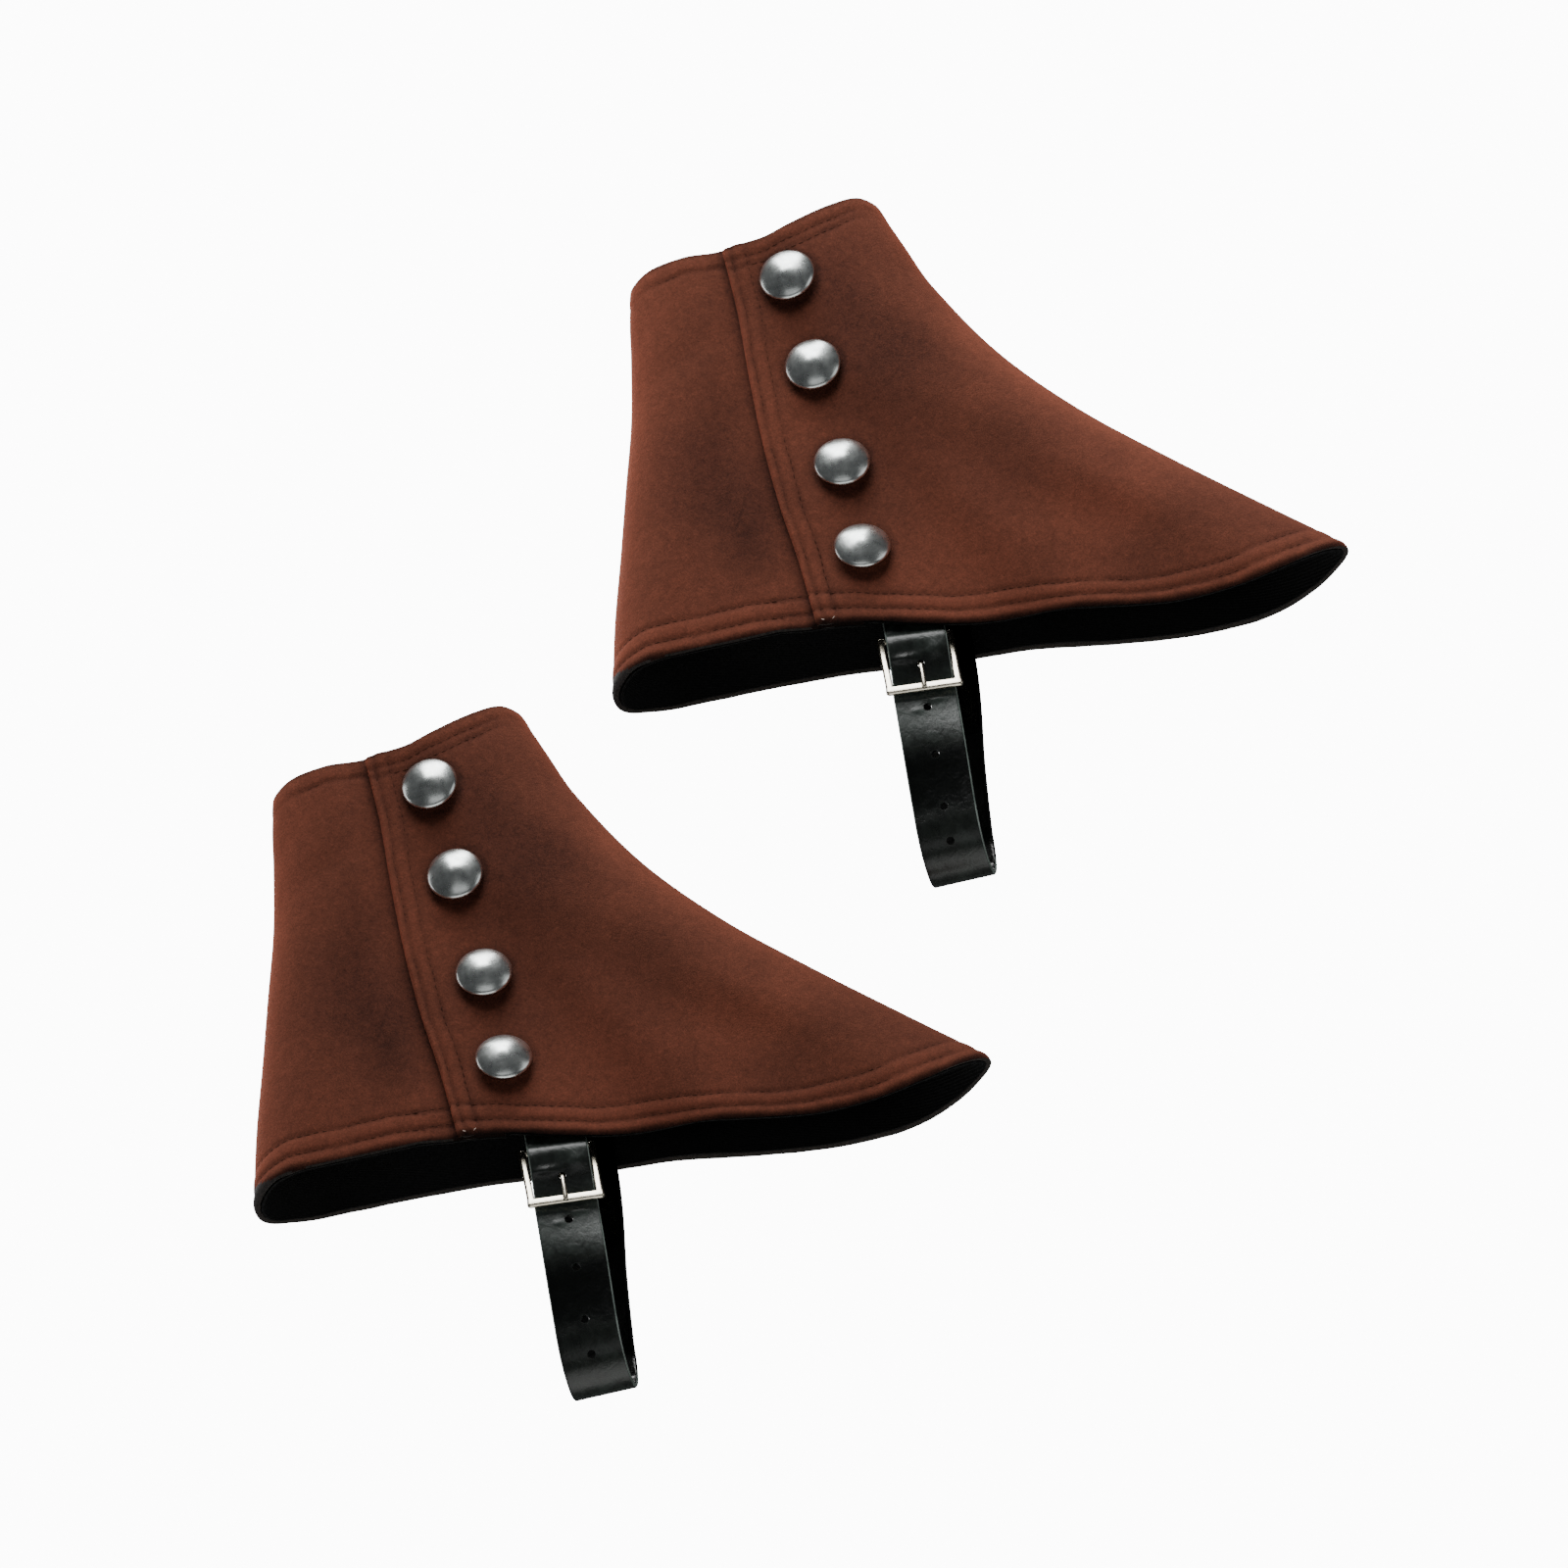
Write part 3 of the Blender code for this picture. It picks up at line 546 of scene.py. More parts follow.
hemEdge = {  # the felt is rolled in along its edges, and painted shade darkens them, most of all at the heel
    "roll": 0.0009, "reach": 0.0026, "heelReach": 0.009, "heelWidth": 0.009,
    "shade": 1.1, "shadePower": 1.3, "rimShade": 0.5, "rimWidth": 0.0007,
    # how far the black is laid on the felt beside the hem as painted shade
    "blackOuter": 0.0007, "blackInner": 0.0024, "blackHeel": 0.006, "blackHeelWidth": 0.007,
}
lapEdge = {  # relief and shade of the fold, and the shadow below it
    "puff": 0.00034, "between": 0.4, "beside": 1.2, "start": -0.0006, "puffShade": 0.15,
    "roll": 0.0009, "rollWidth": 0.0005, "under": 0.45, "underWidth": 0.0022,
}


def rowHeights():
    edge = np.arange(0.0, felting["edgeZone"], felting["edgeRowStep"]) / felting["height"]
    count = round((1 - 2 * edge[-1]) * felting["height"] / felting["rowStep"])
    return np.concatenate((edge[:-1], np.linspace(edge[-1], 1 - edge[-1], count), (1 - edge)[::-1][1:]))


def uneven(place):  # how far hand-guided sewing strays from its line
    return sum(most * np.sin(place * rate + start) for most, rate, start in sewing["strays"])


def grooves(distance, rows, place):  # sewn rows, pulled tighter in some places than in others
    slow, quick = sewing["pullRates"]
    waves = np.sin(place * slow + sewing["pullStart"]) * np.sin(place * quick)
    pull = sewing["pull"][0] + sewing["pull"][1] * waves
    return pull * sum(bell(distance - row, sewing["grooveWidth"]) for row in rows)


def puffBetween(distance, low, high):
    return np.sin(np.pi * np.clip((distance - low) / (high - low), 0, 1))**sewing["puffPower"]


def edgeSewing(up, turn, rimStitches):  # relief and shade along the hem and the rim
    x = wallPoint(up, turn)[..., 0]
    hem, rim = fromEdge(0, up, turn) + uneven(x), fromEdge(1, up, turn) + uneven(x + sewing["rimStray"])
    first, second = sewing["hem"]
    heelX, _, ridgeX, _, _ = columns(sectionRows, up)
    toEnd = np.minimum(x - heelX, ridgeX - x)
    sewn = grooves(hem, sewing["hem"], x) * fade(toEnd, *sewing["hemPull"])
    sewn += grooves(rim, rimStitches, x) * fade(toEnd, *sewing["rimPull"])
    edges = puffBetween(hem, 0.0, first) + puffBetween(rim, 0.0, rimStitches[0])
    bands = puffBetween(hem, first, second) + sewing["edgePuff"] * edges
    heel = hemEdge["heelReach"] * bell(x - heelX, hemEdge["heelWidth"])
    paintedHemShade = np.clip(1 - hem / (hemEdge["reach"] + heel), 0, 1)
    rolled = np.clip(1 - hem / hemEdge["reach"], 0, 1)
    relief = bands * sewing["puff"] - sewn * sewing["grooveDepth"] - hemEdge["roll"] * rolled**2
    # painted highlight on the puffed bands, painted shade in the grooves and along the hem, and a thin
    # darker line at the rim
    shade = sewing["puffShade"] * bands - sewing["grooveShade"] * sewn
    shade -= hemEdge["shade"] * paintedHemShade**hemEdge["shadePower"]
    return relief, shade - hemEdge["rimShade"] * bell(rim, hemEdge["rimWidth"])


def frontSewing(up, turn):
    relief, shade = edgeSewing(up, turn, sewing["rimFront"])
    x, _, z = np.moveaxis(wallPoint(up, turn), -1, 0)
    behind = x - lapX(up) + uneven(z + sewing["lapStray"]) * sewing["lapSteady"]
    first, second = sewing["lap"]
    sewn = grooves(behind, (first,), z) * sewing["firstLapPull"]
    sewn += grooves(behind, (second,), z) * fade(z, *sewing["lapPull"])
    ridges = lapEdge["between"] * puffBetween(behind, first, second)
    ridges += lapEdge["beside"] * puffBetween(behind, lapEdge["start"], first)
    relief += ridges * lapEdge["puff"] - sewn * sewing["grooveDepth"]
    relief -= lapEdge["roll"] * bell(behind, lapEdge["rollWidth"])
    shade += lapEdge["puffShade"] * ridges - sewing["grooveShade"] * sewn
    for buttonX, buttonZ, _ in button["places"]:
        away = np.hypot(x - buttonX, z - buttonZ)
        relief -= button["dimple"] * bell(away, button["dimpleWidth"])
        shade -= button["ringTone"] * bell(away - button["ringRadius"], button["ringWidth"])
    return relief, shade


def backSewing(up, turn):
    relief, shade = edgeSewing(up, turn, sewing["rimBack"])
    toLap = np.maximum(lapX(up) - wallPoint(up, turn)[..., 0], 0)
    return relief, shade - lapEdge["under"] * bell(toLap, lapEdge["underWidth"]) * (turn > 0)


def lapSink(up, turn):
    start = lapX(up) - felting["sinkClear"] - felting["sinkStep"]
    x = wallPoint(up, turn)[..., 0]
    return (form["feltSolid"] + form["seam"]) * ease((x - start) / felting["sinkStep"])


def underlapX(up):
    return lapX(up) + fade(up, *felting["underlap"])


def spread(low, high, count):  # the same number of even steps in every row
    return low + (high - low) * np.linspace(0, 1, count)


def backTurns(up):
    end = lapX(up) - felting["sinkClear"]
    start = end - felting["sinkStep"]
    heel = spread(0.0, turnAt(up, start), felting["heelColumns"])
    sink = turnAt(up, spread(start, end, felting["sinkColumns"])[:, 1:])
    under = turnAt(up, spread(end, underlapX(up), felting["underColumns"])[:, 1:])
    return np.concatenate((heel, sink, under), axis=1)


def frontTurns(up):
    edge = lapX(up)
    lap = turnAt(up, spread(edge, edge + felting["lapZone"], felting["lapColumns"]))
    return np.concatenate((lap, spread(lap[:, -1:], 1.0, felting["frontColumns"])[:, 1:]), axis=1)


def innerTurns(up):
    return spread(-np.ones_like(up), 0.0, felting["innerColumns"])


def darkenHem(panel, side, up, turn):  # black inside and at the cut edges, and as painted shade on the felt along the hem, widest at the heel
    fromHeel = wallPoint(up, turn)[..., 0] - columns(sectionRows, up)[0]
    width = hemEdge["blackHeel"] * bell(fromHeel, hemEdge["blackHeelWidth"])
    width += hemEdge["blackOuter" if side > 0 else "blackInner"]
    shadedBand = (fromEdge(0, up, turn) < width).reshape(-1)
    outside = (turn.shape[0] - 1) * (turn.shape[1] - 1)
    black = np.ones(len(panel.data.polygons), np.int32)
    black[:outside] = shadedBand[cornersOf(panel)[:outside * 4].reshape(-1, 4)].all(axis=1)
    panel.data.polygons.foreach_set("material_index", black)


def feltPanel(name, turns, side, sewn, sink=None, drop=0.0):
    up = rowHeights()[:, None]
    turn = turns(up)
    relief, shade = sewn(up, turn)
    points = clothPoints(up, turn, (sink(up, turn) if sink else 0.0) - relief, side)
    x, _, z = np.moveaxis(wallPoint(up, turn), -1, 0)
    points[..., 2] -= drop * up**felting["dropPower"] * bell(x - lapX(up), felting["dropWidth"])
    panel = sheetThrough(name, points)
    # painted shade and painted highlight from the sewing and the spots
    setAttribute(panel, "shade", shade + softSpots(paintedShadeRows, side, x, z))
    addModifier(panel, "SOLIDIFY", thickness=felting["thickness"], offset=-1)
    applyModifiers(panel)
    darkenHem(panel, side, up, turn)
    return finishPiece(panel, "woolFelt", "feltEdgeAndHemShade")


outerFront = feltPanel("firstOuterFront", frontTurns, 1, frontSewing, drop=felting["cornerDrop"])
outerBack = feltPanel("firstOuterBack", backTurns, 1, backSewing, lapSink)
innerSide = feltPanel("firstInnerSide", innerTurns, -1, backSewing)
print("felt panels made")

# Lining: one dark skin inside all three panels

liningCut = {"thickness": 0.0008, "clear": 0.0006, "edge": 0.004, "pastUnderlap": 0.0016, "columns": 60}


def makeLining():
    up = np.clip(rowHeights(), liningCut["edge"], 1 - liningCut["edge"])[::2, None]
    front = spread(turnAt(up, underlapX(up) + liningCut["pastUnderlap"]), 1.0, liningCut["columns"])
    turn = np.concatenate((front - 2, innerTurns(up)[:, 1:], backTurns(up)[:, 1:]), axis=1)
    depth = form["feltSolid"] + liningCut["clear"] + np.where(turn > 0, lapSink(up, turn), 0.0)
    skin = sheetThrough("firstLining", clothPoints(up, turn, depth, 0))
    addModifier(skin, "SOLIDIFY", thickness=liningCut["thickness"], offset=-1)
    applyModifiers(skin)
    return finishPiece(skin, "liningTwill")


lining = makeLining()
print("lining made")

# Stitching

def stitchShape():  # one stitch: a short, plump dash with its ends sunk
    dash = addPrimitive(bpy.ops.mesh.primitive_uv_sphere_add, segments=6, ring_count=5, radius=1)
    dash.rotation_euler = (0.0, radians(90), 0.0)
    bpy.ops.object.transform_apply()
    shape, faces = pointsOf(dash), [tuple(face.vertices) for face in dash.data.polygons]
    bpy.data.objects.remove(dash)
    return shape * (sewing["stitch"] / 2, sewing["thread"] * sewing["plump"], sewing["thread"]), faces


def stitchRow(up, turn, side):  # places, directions and normals of the stitches along a row
    points = clothPoints(up, turn, sewing["grooveDepth"] - sewing["thread"] * sewing["proud"], side)
    lengths, small = lengthsAlong(points), 1e-4
    at = np.arange(sewing["pitch"] / 2, lengths[-1], sewing["pitch"])
    along = readAlong(lengths, points, at + small) - readAlong(lengths, points, at - small)
    along /= np.linalg.norm(along, axis=1, keepdims=True)
    return readAlong(lengths, points, at), along, readAlong(lengths, wallNormal(up, turn, True), at)


def rowUp(edge, distance, turn):  # how high a row lies beside the hem, edge 0, or the rim, edge 1
    x = wallPoint(sewing["readUp"][edge], turn)[:, 0] + (0.0, sewing["rimStray"])[edge]
    return abs(edge - (distance - uneven(x)) / fromEdge(edge, 1 - edge, turn))


def makeStitching():
    shape, faces = stitchShape()
    share = np.linspace(0.0, 1.0, sewing["rowPoints"])
    lapTop = float(lapX(1.0))
    frontEnds = (float(turnAt(1.0, lapTop + sewing["lap"][1])), sewing["rimEnds"][1])
    backEnds = (sewing["rimEnds"][0], float(turnAt(1.0, lapTop - sewing["toLap"])))
    rows = []
    for side, edge, stitches, ends in (
            (1, 0, "hem", sewing["ends"]), (-1, 0, "hem", sewing["ends"]),
            (-1, 1, "rimBack", sewing["ends"]), (1, 1, "rimFront", frontEnds), (1, 1, "rimBack", backEnds)):
        turn = side * mix(*ends, share)
        rows += [stitchRow(rowUp(edge, distance, turn), turn, side) for distance in sewing[stitches]]
    up = np.linspace(*sewing["lapEnds"], sewing["lapPoints"])
    for distance in sewing["lap"]:
        z = wallPoint(up, turnAt(up, lapX(up)))[:, 2]
        stray = uneven(z + sewing["lapStray"]) * sewing["lapSteady"]
        rows.append(stitchRow(up, turnAt(up, lapX(up) + distance - stray), 1))
    spots, alongs, outs = (np.concatenate([row[k] for row in rows]) for k in range(3))
    sideways = np.cross(outs, alongs)
    sideways /= np.linalg.norm(sideways, axis=1, keepdims=True)
    axes = np.stack((alongs, sideways, np.cross(alongs, sideways)), 1)
    points = spots[:, None] + np.einsum("pa,sak->spk", shape, axes)
    faces = [tuple(i * len(shape) + k for k in face) for i in range(len(spots)) for face in faces]
    print("stitches:", len(spots))
    return finishPiece(addMesh("firstStitching", points, faces), "sewingThread", angle=180)


stitching = makeStitching()

# Buttons

def makeButton(number, x, z, lean):
    profile = np.array(button["profile"]) / 1000
    piece = addPrimitive(bpy.ops.mesh.primitive_circle_add, vertices=button["sides"], radius=profile[0][0],
                         fill_type="NGON", location=(0.0, 0.0, profile[0][1]))
    piece.name = f"firstButton{number}"
    editAll(piece)
    for (radius, height), (nextRadius, nextHeight) in zip(profile, profile[1:]):
        bpy.ops.mesh.extrude_region_move(TRANSFORM_OT_translate={"value": (0.0, 0.0, nextHeight - height)})
        grow = nextRadius / radius
        bpy.ops.transform.resize(value=(grow, grow, 1.0), center_override=(0.0, 0.0, nextHeight))
    turnFacesOut()
    bpy.ops.object.transform_apply()
    setAttribute(piece, "radius", np.hypot(*pointsOf(piece)[:, :2].T))
    up = upAt(x, z)
    turn = turnAt(up, x)
    normal = Vector(wallNormal(np.float64(up), turn))
    rising = normal.cross(Vector((0, 0, 1))).normalized().cross(normal)
    tilt = radians(lean)
    axis = normal * cos(tilt) + rising * sin(tilt)
    foot = Vector(wallPoint(up, turn)) + normal * button["standoff"]
    placeMesh(piece, Matrix.Translation(foot) @ axis.to_track_quat("Z", "Y").to_matrix().to_4x4())
    return finishPiece(piece, "buttonSteel", angle=50)


buttons = [makeButton(i + 1, *place) for i, place in enumerate(button["places"])]
print("buttons made")

# Strap, tab and buckle, which hang beside the hem

strap = {
    "x": 0.1074, "farX": 0.1124, "width": 0.0216, "thick": 0.0016, "edgeRound": 0.00072,
    "near": (  # inward from the outer panel's face, z, in mm
        (4.4, 0.8), (4.6, -3), (4.5, -6.5), (3.8, -9.7), (2.6, -11.6), (2.2, -14), (2.6, -18),
        (3.8, -23), (5, -28), (5.4, -31), (5.2, -38), (4.7, -50), (5.1, -74),
    ),
    "far": (  # inward from the inner side's face, z, in mm
        (4.6, -74), (4.6, -50), (4.5, -20), (4.4, 12),
    ),
    "low": -0.0958, "turns": (-0.035, -0.075), "farTurns": (-0.074, -0.008),
    "loopAngles": (15, 40, 65, 90, 115, 140, 165), "loopSquareness": 0.8,
    "rings": 400, "faceColumns": 25, "nearLength": 0.105,
    "narrow": (1.0, 0.955, -0.032, 0.004),    # width below and at the buckle, from which z, over how much
    "swells": (  # across, z, half width, half height, how far it stands out, in mm
        (0, -48, 30, 9.5, 0.7), (-6, -19.5, 4.2, 1.3, 0.6), (6, -17.5, 2.8, 2.2, 0.5),
        (-2, -16.5, 5, 1.8, -0.3), (3.4, -35.2, 2.6, 1.1, 0.5), (-3.6, -38.6, 1.8, 1.1, 0.3),
        (0, -86, 30, 6, 0.4),
    ),
    "paintedLight": (  # z in mm, painted highlight where it is positive and painted shade where it is negative
        (-96, 0.1), (-92, 0.12), (-86, 0.0), (-78, -0.15), (-70, -0.6), (-60, -0.8),
        (-56, -0.45), (-50, 0.1), (-42, 0.35), (-34, 0.42), (-30, 0.2), (-22, -0.1), (-15, 0.05),
        (-11, 0.2), (-3, -0.3),
    ),
    "farShade": -0.8, "paleEdges": 0.55,      # the far run's painted shade, and the share with pale edges and their painted highlight
    "holes": (-0.0222, -0.038, -0.056, -0.0748, -0.0868), "hole": 0.0014,
    "rimmed": (-0.0868,), "rimReach": 1.22, "rimThick": 0.00026, "rimSunk": 0.00018,
}
buckle = {
    "pivot": (0.0083, -0.0098), "low": (0.0028, -0.0308),
    "thick": 0.002, "inner": 0.0208, "side": 0.0025, "bar": 0.0031, "top": 0.0012,
    "corner": 0.0014, "flare": 0.0004, "edge": 0.0008, "pin": 0.001,
}
rivet = {"along": 0.0082, "z": -0.0042, "inward": 0.0037, "size": (0.0009, 0.00054, 0.0009)}
looseEnds = {  # the lap's stitching ends in cut threads at the hem
    "places": ((0.0775, 0.0002, 25), (0.0812, 0.0004, -40)),   # x, z, lean in degrees
    "size": (0.00065, 0.00018, 0.00018), "up": 0.01, "outward": 0.0002,
}


class Beside:  # a frame on the wall's face at the hem: along the wall, inward and up
    def __init__(self, x, side):
        step = strap["width"] / 2
        behind, self.base, ahead = (wallPoint(0.0, turnAt(0.0, x + k * step) * side) for k in (-1, 0, 1))
        self.yaw = atan2(ahead[1] - behind[1], ahead[0] - behind[0])
        self.along = np.array((cos(self.yaw), sin(self.yaw), 0.0))
        self.inward = np.array((-sin(self.yaw), cos(self.yaw), 0.0)) * side

    def lean(self, z):
        x = self.base[0]
        up = upAt(x, z)
        return abs(self.base[1]) - abs(wallPoint(up, turnAt(up, x))[1])

    def point(self, along, inward, z):
        spot = self.base + self.along * along + self.inward * (inward + self.lean(z))
        return np.array((spot[0], spot[1], z))


def curveThrough(points, count):
    points = np.asarray(points, dtype=float)
    lengths = lengthsAlong(points)
    fine = columns(np.column_stack((lengths, points)), np.linspace(0.0, lengths[-1], count * 8)).T
    lengths = lengthsAlong(fine)
    return readAlong(lengths, fine, np.linspace(0.0, lengths[-1], count))


def strapPath(near, far):  # middle line and yaw, from the free end round the loop to the inner side
    rows = []
    for inward, z in np.array(strap["near"]) / 1000:
        share = ease((z - strap["turns"][0]) / (strap["turns"][1] - strap["turns"][0]))
        rows.append((*near.point(0.0, inward, z), near.yaw * (1 - share)))
    shift = near.base[0] - far.base[0]
    farRows = np.array(strap["far"]) / 1000
    nearFoot, farFoot = np.array(rows[-1][:3]), far.point(shift, *farRows[0])
    radius = (farFoot[1] - nearFoot[1]) / 2
    depth = strap["low"] + strap["thick"] / 2 - nearFoot[2]
    for angle in strap["loopAngles"]:
        c, s = cos(radians(angle)), sin(radians(angle))
        rows.append((mix(nearFoot[0], farFoot[0], angle / 180), nearFoot[1] + radius * (1 - c),
                     nearFoot[2] + depth * s**strap["loopSquareness"], 0.0))
    for inward, z in farRows:
        share = ease((z - strap["farTurns"][0]) / (strap["farTurns"][1] - strap["farTurns"][0]))
        rows.append((*far.point(shift * (1 - share), inward, z), far.yaw * share))
    return curveThrough(rows, strap["rings"])


def strapSection():  # outline across the strap: flat faces with rounded edges
    half, thin, r = strap["width"] / 2, strap["thick"] / 2, strap["edgeRound"]
    across = np.linspace(-half + r, half - r, strap["faceColumns"])
    corner = [radians(a) for a in (-67, -22, 22, 67)]
    right = [(half - r + r * cos(a), (thin - r) * np.sign(a) + r * sin(a)) for a in corner]
    left = [(-a, -n) for a, n in right]
    return np.array([(a, -thin) for a in across] + right + [(a, thin) for a in across[::-1]] + left)


def strapMesh(centres, yaws):
    section = strapSection()
    tangents = np.gradient(centres, axis=0)
    tangents /= np.linalg.norm(tangents, axis=1, keepdims=True)
    across = np.stack((np.cos(yaws), np.sin(yaws), np.zeros_like(yaws)), -1)
    across -= tangents * np.sum(across * tangents, axis=1, keepdims=True)
    across /= np.linalg.norm(across, axis=1, keepdims=True)
    normals = np.cross(tangents, across)
    lengths, z = lengthsAlong(centres), centres[:, 2]
    near = lengths < strap["nearLength"]
    swell = sum(most * bell(section[:, 0] - spot, width) * bell(z[:, None] - height, tall)
                for spot, height, width, tall, most in np.array(strap["swells"]) / 1000) * near[:, None]
    narrow = np.where(near, fade(z, *strap["narrow"]), 1.0)
    rings = (centres[:, None] + section[:, :1] * narrow[:, None, None] * across[:, None]
             + (section[:, 1:] + swell[..., None]) * normals[:, None])
    count, around = rings.shape[:2]
    loop = np.arange(around)
    quad = np.stack((loop, (loop + 1) % around, (loop + 1) % around + around, loop + around), -1)
    faces = [loop[::-1].tolist(), (loop + (count - 1) * around).tolist()]
    faces += [face for i in range(count - 1) for face in (quad + i * around).tolist()]
    piece = addMesh("firstStrap", rings, faces)
    firstSide = strap["faceColumns"]  # where the faces of the first rounded edge start
    sides = (*range(firstSide, firstSide + 3), *range(2 * firstSide + 4, 2 * firstSide + 7))
    for i, face in enumerate(piece.data.polygons):
        pale = 2 <= i < around * count * strap["paleEdges"]
        face.material_index = int(pale and (i - 2) % around in sides)
    # painted highlight and painted shade along the near run, and painted shade on the far run
    tone = np.where(lengths < lengths[-1] / 2, columns(strap["paintedLight"], z * 1000)[0], strap["farShade"])
    setAttribute(piece, "shade", np.repeat(tone, around))
    return piece, normals


def makeStrap(near, far):
    path = strapPath(near, far)
    centres = path[:, :3]
    piece, normals = strapMesh(centres, path[:, 3])
    editAll(piece)
    turnFacesOut()
    for name in ("strapLeather", "leatherEdgeAndHighlight"):
        piece.data.materials.append(bpy.data.materials[name])
    rims = []
    for z in strap["holes"]:
        i = int(np.argmin(np.abs(centres[:len(centres) // 2, 2] - z)))
        facing = Vector(normals[i]).to_track_quat("Z", "Y").to_matrix().to_4x4()
        spot = Matrix.Translation(Vector(centres[i])) @ facing
        punch = addPrimitive(bpy.ops.mesh.primitive_cylinder_add, vertices=20, radius=strap["hole"],
                             depth=strap["thick"] * 2)
        placeMesh(punch, spot)
        addModifier(piece, "BOOLEAN", operation="DIFFERENCE", solver="EXACT", object=punch)
        applyModifiers(piece)
        bpy.data.objects.remove(punch)
        if z in strap["rimmed"]:
            rim = addPrimitive(bpy.ops.mesh.primitive_torus_add, major_segments=24, minor_segments=8,
                               major_radius=strap["hole"] * strap["rimReach"],
                               minor_radius=strap["rimThick"])
            placeMesh(rim, spot @ Matrix.Translation((0.0, 0.0, strap["thick"] / 2 - strap["rimSunk"])))
            rims.append(rim)
    return finishPiece(joined(*rims, piece), "strapLeather", "leatherEdgeAndHighlight")


def refined(name, node, material, width, segments, swell=0.0):
    # a copy of a solid, its loose triangles merged and its edges softened
    piece = addObject(name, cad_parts[node].data.copy())
    editAll(piece)
    bpy.ops.mesh.remove_doubles(threshold=0.00001)
    bpy.ops.transform.shrink_fatten(value=swell)
    bpy.ops.mesh.tris_convert_to_quads(face_threshold=radians(1), shape_threshold=radians(180))
    bpy.ops.object.mode_set(mode="OBJECT")
    addModifier(piece, "BEVEL", limit_method="ANGLE", angle_limit=radians(32), width=width,
                segments=segments)
    applyModifiers(piece)
    placeMesh(piece, Matrix.Translation(Vector(form["ankle"])))
    return finishPiece(piece, material, angle=60)


def makeBuckle(near):
    low, pivot = np.array(buckle["low"]), np.array(buckle["pivot"])
    run = low - pivot
    length = float(np.linalg.norm(run))
    half, bar = buckle["inner"] / 2, buckle["bar"] / 2
    wide = half + buckle["side"]
    bottom, top = -(length + bar), buckle["top"]
    piece = addPrimitive(bpy.ops.mesh.primitive_plane_add, size=1)
    piece.name = "firstBuckleFrame"
    piece.scale = (2 * wide, top - bottom, 1.0)
    piece.location = (0.0, (top + bottom) / 2, -buckle["thick"] / 2)
    bpy.ops.object.transform_apply()
    editAll(piece)
    for place, normal in (((-half, 0.0, 0.0), (1.0, 0.0, 0.0)), ((half, 0.0, 0.0), (1.0, 0.0, 0.0)),
                          ((0.0, bar - length, 0.0), (0.0, 1.0, 0.0))):
        bpy.ops.mesh.select_all(action="SELECT")
        bpy.ops.mesh.bisect(plane_co=place, plane_no=normal)
    bpy.ops.object.mode_set(mode="OBJECT")
    for face in piece.data.polygons:
        face.select = abs(face.center.x) < half and face.center.y > bar - length
    bpy.ops.object.mode_set(mode="EDIT")
    bpy.ops.mesh.select_mode(type="FACE")
    bpy.ops.mesh.delete(type="FACE")
    bpy.ops.mesh.select_all(action="SELECT")
    bpy.ops.mesh.extrude_region_move(TRANSFORM_OT_translate={"value": (0.0, 0.0, buckle["thick"])})
    turnFacesOut()
    vertices, tiny = piece.data.vertices, 1e-5
    for vertex in vertices:
        if vertex.co.y < bar - length and abs(vertex.co.x) > half:
            vertex.co.x += copysign(buckle["flare"], vertex.co.x)
    weights = piece.data.attributes.new("bevel_weight_edge", "FLOAT", "EDGE")
    for edge in piece.data.edges:
        if all(vertices[k].co.y < bottom + tiny and abs(vertices[k].co.x) > wide for k in edge.vertices):
            weights.data[edge.index].value = 1.0
    addModifier(piece, "BEVEL", limit_method="WEIGHT", width=buckle["corner"], segments=5)
    addModifier(piece, "BEVEL", limit_method="ANGLE", angle_limit=radians(50), width=buckle["edge"],
                segments=4)
    applyModifiers(piece)
    pin = addPrimitive(bpy.ops.mesh.primitive_cylinder_add, vertices=24, radius=buckle["pin"],
                       depth=2 * half + buckle["side"], rotation=(0.0, radians(90), 0.0))
    bpy.ops.object.transform_apply()
    joined(pin, piece)
    run /= length
    away = np.array((run[1], -run[0]))
    placed = [near.point(x, *(pivot + run * -y + away * z)) for x, y, z in pointsOf(piece)]
    piece.data.vertices.foreach_set("co", np.array(placed).reshape(-1))
    editAll(piece)
    turnFacesOut()
    return finishPiece(piece, "buckleNickel", angle=35)


def makeRivet(near):
    piece = addPellet(20, 10, rivet["size"])
    piece.name = "firstRivet"
    placeMesh(piece, Matrix.Translation(Vector(near.point(rivet["along"], rivet["inward"], rivet["z"]))))
    return finishPiece(piece, "buckleNickel", angle=180)


def makeLooseEnds():
    ends = []
    up = looseEnds["up"]
    for x, z, lean in looseEnds["places"]:
        end = addPellet(10, 8, looseEnds["size"])
        spot = Vector(wallPoint(up, turnAt(up, x))) + Vector((0.0, -looseEnds["outward"], z))
        placeMesh(end, Matrix.Translation(spot) @ Matrix.Rotation(radians(lean), 4, "Y"))
        ends.append(end)
    piece = joined(*ends[::-1])
    piece.name = "firstThreadEnds"
    return finishPiece(piece, "threadEnds", angle=180)


near, far = Beside(strap["x"], 1), Beside(strap["farX"], -1)
rivetPiece = makeRivet(near)
threadEnds = makeLooseEnds()
strapPiece = makeStrap(near, far)
buckleFrame = makeBuckle(near)
tabPiece = refined("firstTab", "first_tab", "strapLeather", width=0.00025, segments=2)
prongPiece = refined("firstProng", "first_prong", "buckleNickel", width=0.0001, segments=1, swell=0.00022)
print("strap and buckle made")

# The pair: every piece again, one step back and down

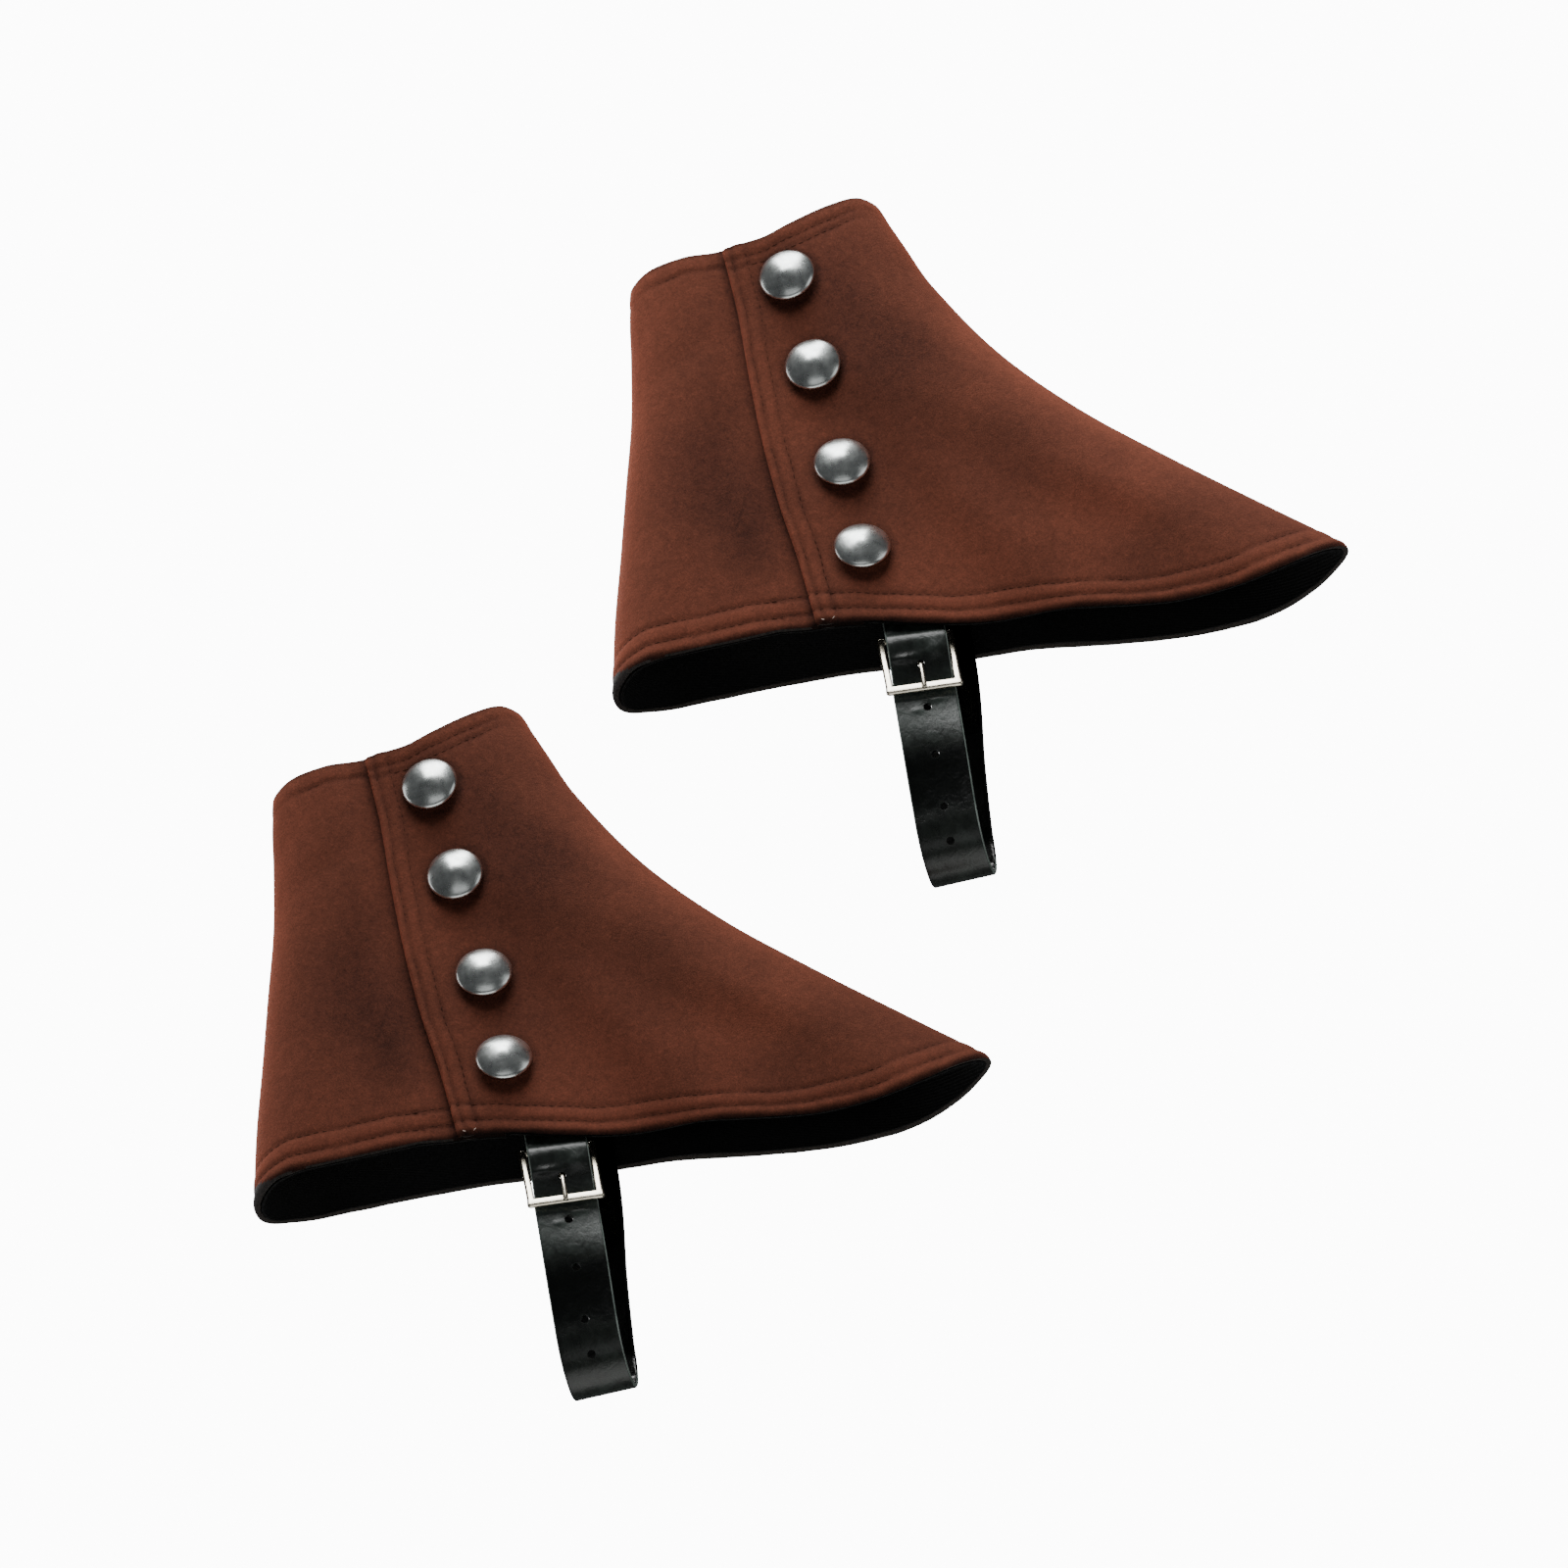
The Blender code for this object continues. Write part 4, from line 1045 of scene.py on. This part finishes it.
pieces = {  # piece: the solids' name after first_ or second_, and its material slot
    outerFront: ("outer_front", "felt"),
    outerBack: ("outer_back", "felt"),
    innerSide: ("inner_side", "felt"),
    lining: ("lining", "lining"),
    stitching: (None, "felt"),
    threadEnds: (None, "felt"),
    rivetPiece: (None, "nickel"),
    strapPiece: ("strap", "leather"),
    tabPiece: ("tab", "leather"),
    buckleFrame: ("buckle_frame", "nickel"),
    prongPiece: ("prong", "nickel"),
}
for i, piece in enumerate(buttons):
    pieces[piece] = (f"button_{i + 1}", "nickel")
for piece, (node, slot) in pieces.items():
    twin = addObject(piece.name.replace("first", "second"), piece.data.copy())
    placeMesh(twin, Matrix.Translation(form["pairStep"]))
    for one, which in ((piece, "first"), (twin, "second")):
        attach(one, "root")
        if node:
            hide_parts(f"{which}_{node}")
print("pair placed")

# Camera, light and floor

view = {
    "azimuth": 8, "lookUp": 25, "roll": 9.5,   # degrees
    "centre": (-0.0197, -0.1778),              # right of and above the frame's origin
    "depth": -0.078, "distance": 16.0, "across": 0.528, "clipEnd": 100,
}
lights = (  # name, place from the middle of the pair, width, depth, power in watts
    ("overhead", (0.06, -0.52, 1.28), 0.95, 1.35, 46),
    ("sideLeft", (-1.35, 0.3, 0.35), 1.0, 1.0, 9),
    ("sideRight", (1.3, -0.35, -0.15), 0.8, 0.8, 2.5),
    ("lowFill", (0.1, -1.25, -0.62), 1.0, 0.5, 1.5),
    ("back", (-0.6, 1.25, 0.9), 1.0, 1.0, 22),
)
studio = {
    "middle": (-0.05, 0.0, -0.18),
    "room": (0.95, 0.98, 1.0, 1.0), "roomStrength": 0.09,
    "white": (1.0, 1.0, 1.0, 1.0), "whiteStrength": 12.0,
    "floorSize": 8, "floorHeight": -7.5, "floorColour": "#e6e6e4",
    "lampHeight": -1.0, "lampPower": 5000, "lampAngle": 100,
}


def makeCamera():
    turn, rise, roll = (radians(view[k]) for k in ("azimuth", "lookUp", "roll"))
    right = Vector((cos(turn), sin(turn), 0.0))
    ahead = Vector((-sin(turn) * cos(rise), cos(turn) * cos(rise), sin(rise)))
    top = right.cross(ahead)
    data = bpy.data.cameras.new("camera")
    camera = addObject("camera", data)
    across = right * cos(roll) - top * sin(roll)
    upward = right * sin(roll) + top * cos(roll)
    spot = right * view["centre"][0] + top * view["centre"][1] + ahead * (view["depth"] - view["distance"])
    camera.matrix_world = Matrix.Translation(spot) @ Matrix((across, upward, -ahead)).transposed().to_4x4()
    data.lens = data.sensor_width * view["distance"] / view["across"]
    data.clip_end = view["clipEnd"]
    bpy.context.scene.camera = camera


def makeLights():
    for name, place, width, depth, power in lights:
        data = bpy.data.lights.new(name, "AREA")
        data.shape = "RECTANGLE"
        data.size, data.size_y = width, depth
        data.energy = power
        lamp = addObject(name, data)
        lamp.location = Vector(studio["middle"]) + Vector(place)
        lamp.rotation_euler = (-Vector(place)).to_track_quat("-Z", "Y").to_euler()


def makeWorld():  # white behind the object, and a dim room for what it reflects
    world = bpy.data.worlds.new("studio")
    bpy.context.scene.world = world
    world.use_nodes = True
    tree = world.node_tree
    room = tree.nodes["Background"]
    setUp(room, {"Color": studio["room"], "Strength": studio["roomStrength"]})
    white = addNode(tree, "Background", 0, {"Color": studio["white"], "Strength": studio["whiteStrength"]})
    seen = addNode(tree, "LightPath", "Is Camera Ray")
    blend = addNode(tree, "MixShader", 0, links={"Fac": seen, 1: room.outputs[0], 2: white})
    setUp(tree.nodes["World Output"], links={"Surface": blend})


def makeFloor():
    floor = addPrimitive(bpy.ops.mesh.primitive_plane_add, size=studio["floorSize"],
                         location=(0.0, 0.0, studio["floorHeight"]))
    floor.name = "studioFloor"
    newMaterial("paleFloor", {"Base Color": hexColour(studio["floorColour"]), "Roughness": 0.8})
    floor.data.materials.append(bpy.data.materials["paleFloor"])
    glow = bpy.data.lights.new("floorLamp", "SPOT")
    glow.energy = studio["lampPower"]
    glow.spot_size = radians(studio["lampAngle"])
    addObject("floorLamp", glow).location = (0.0, 0.0, studio["lampHeight"])


makeCamera()
makeLights()
makeWorld()
makeFloor()
print("camera and lights set")
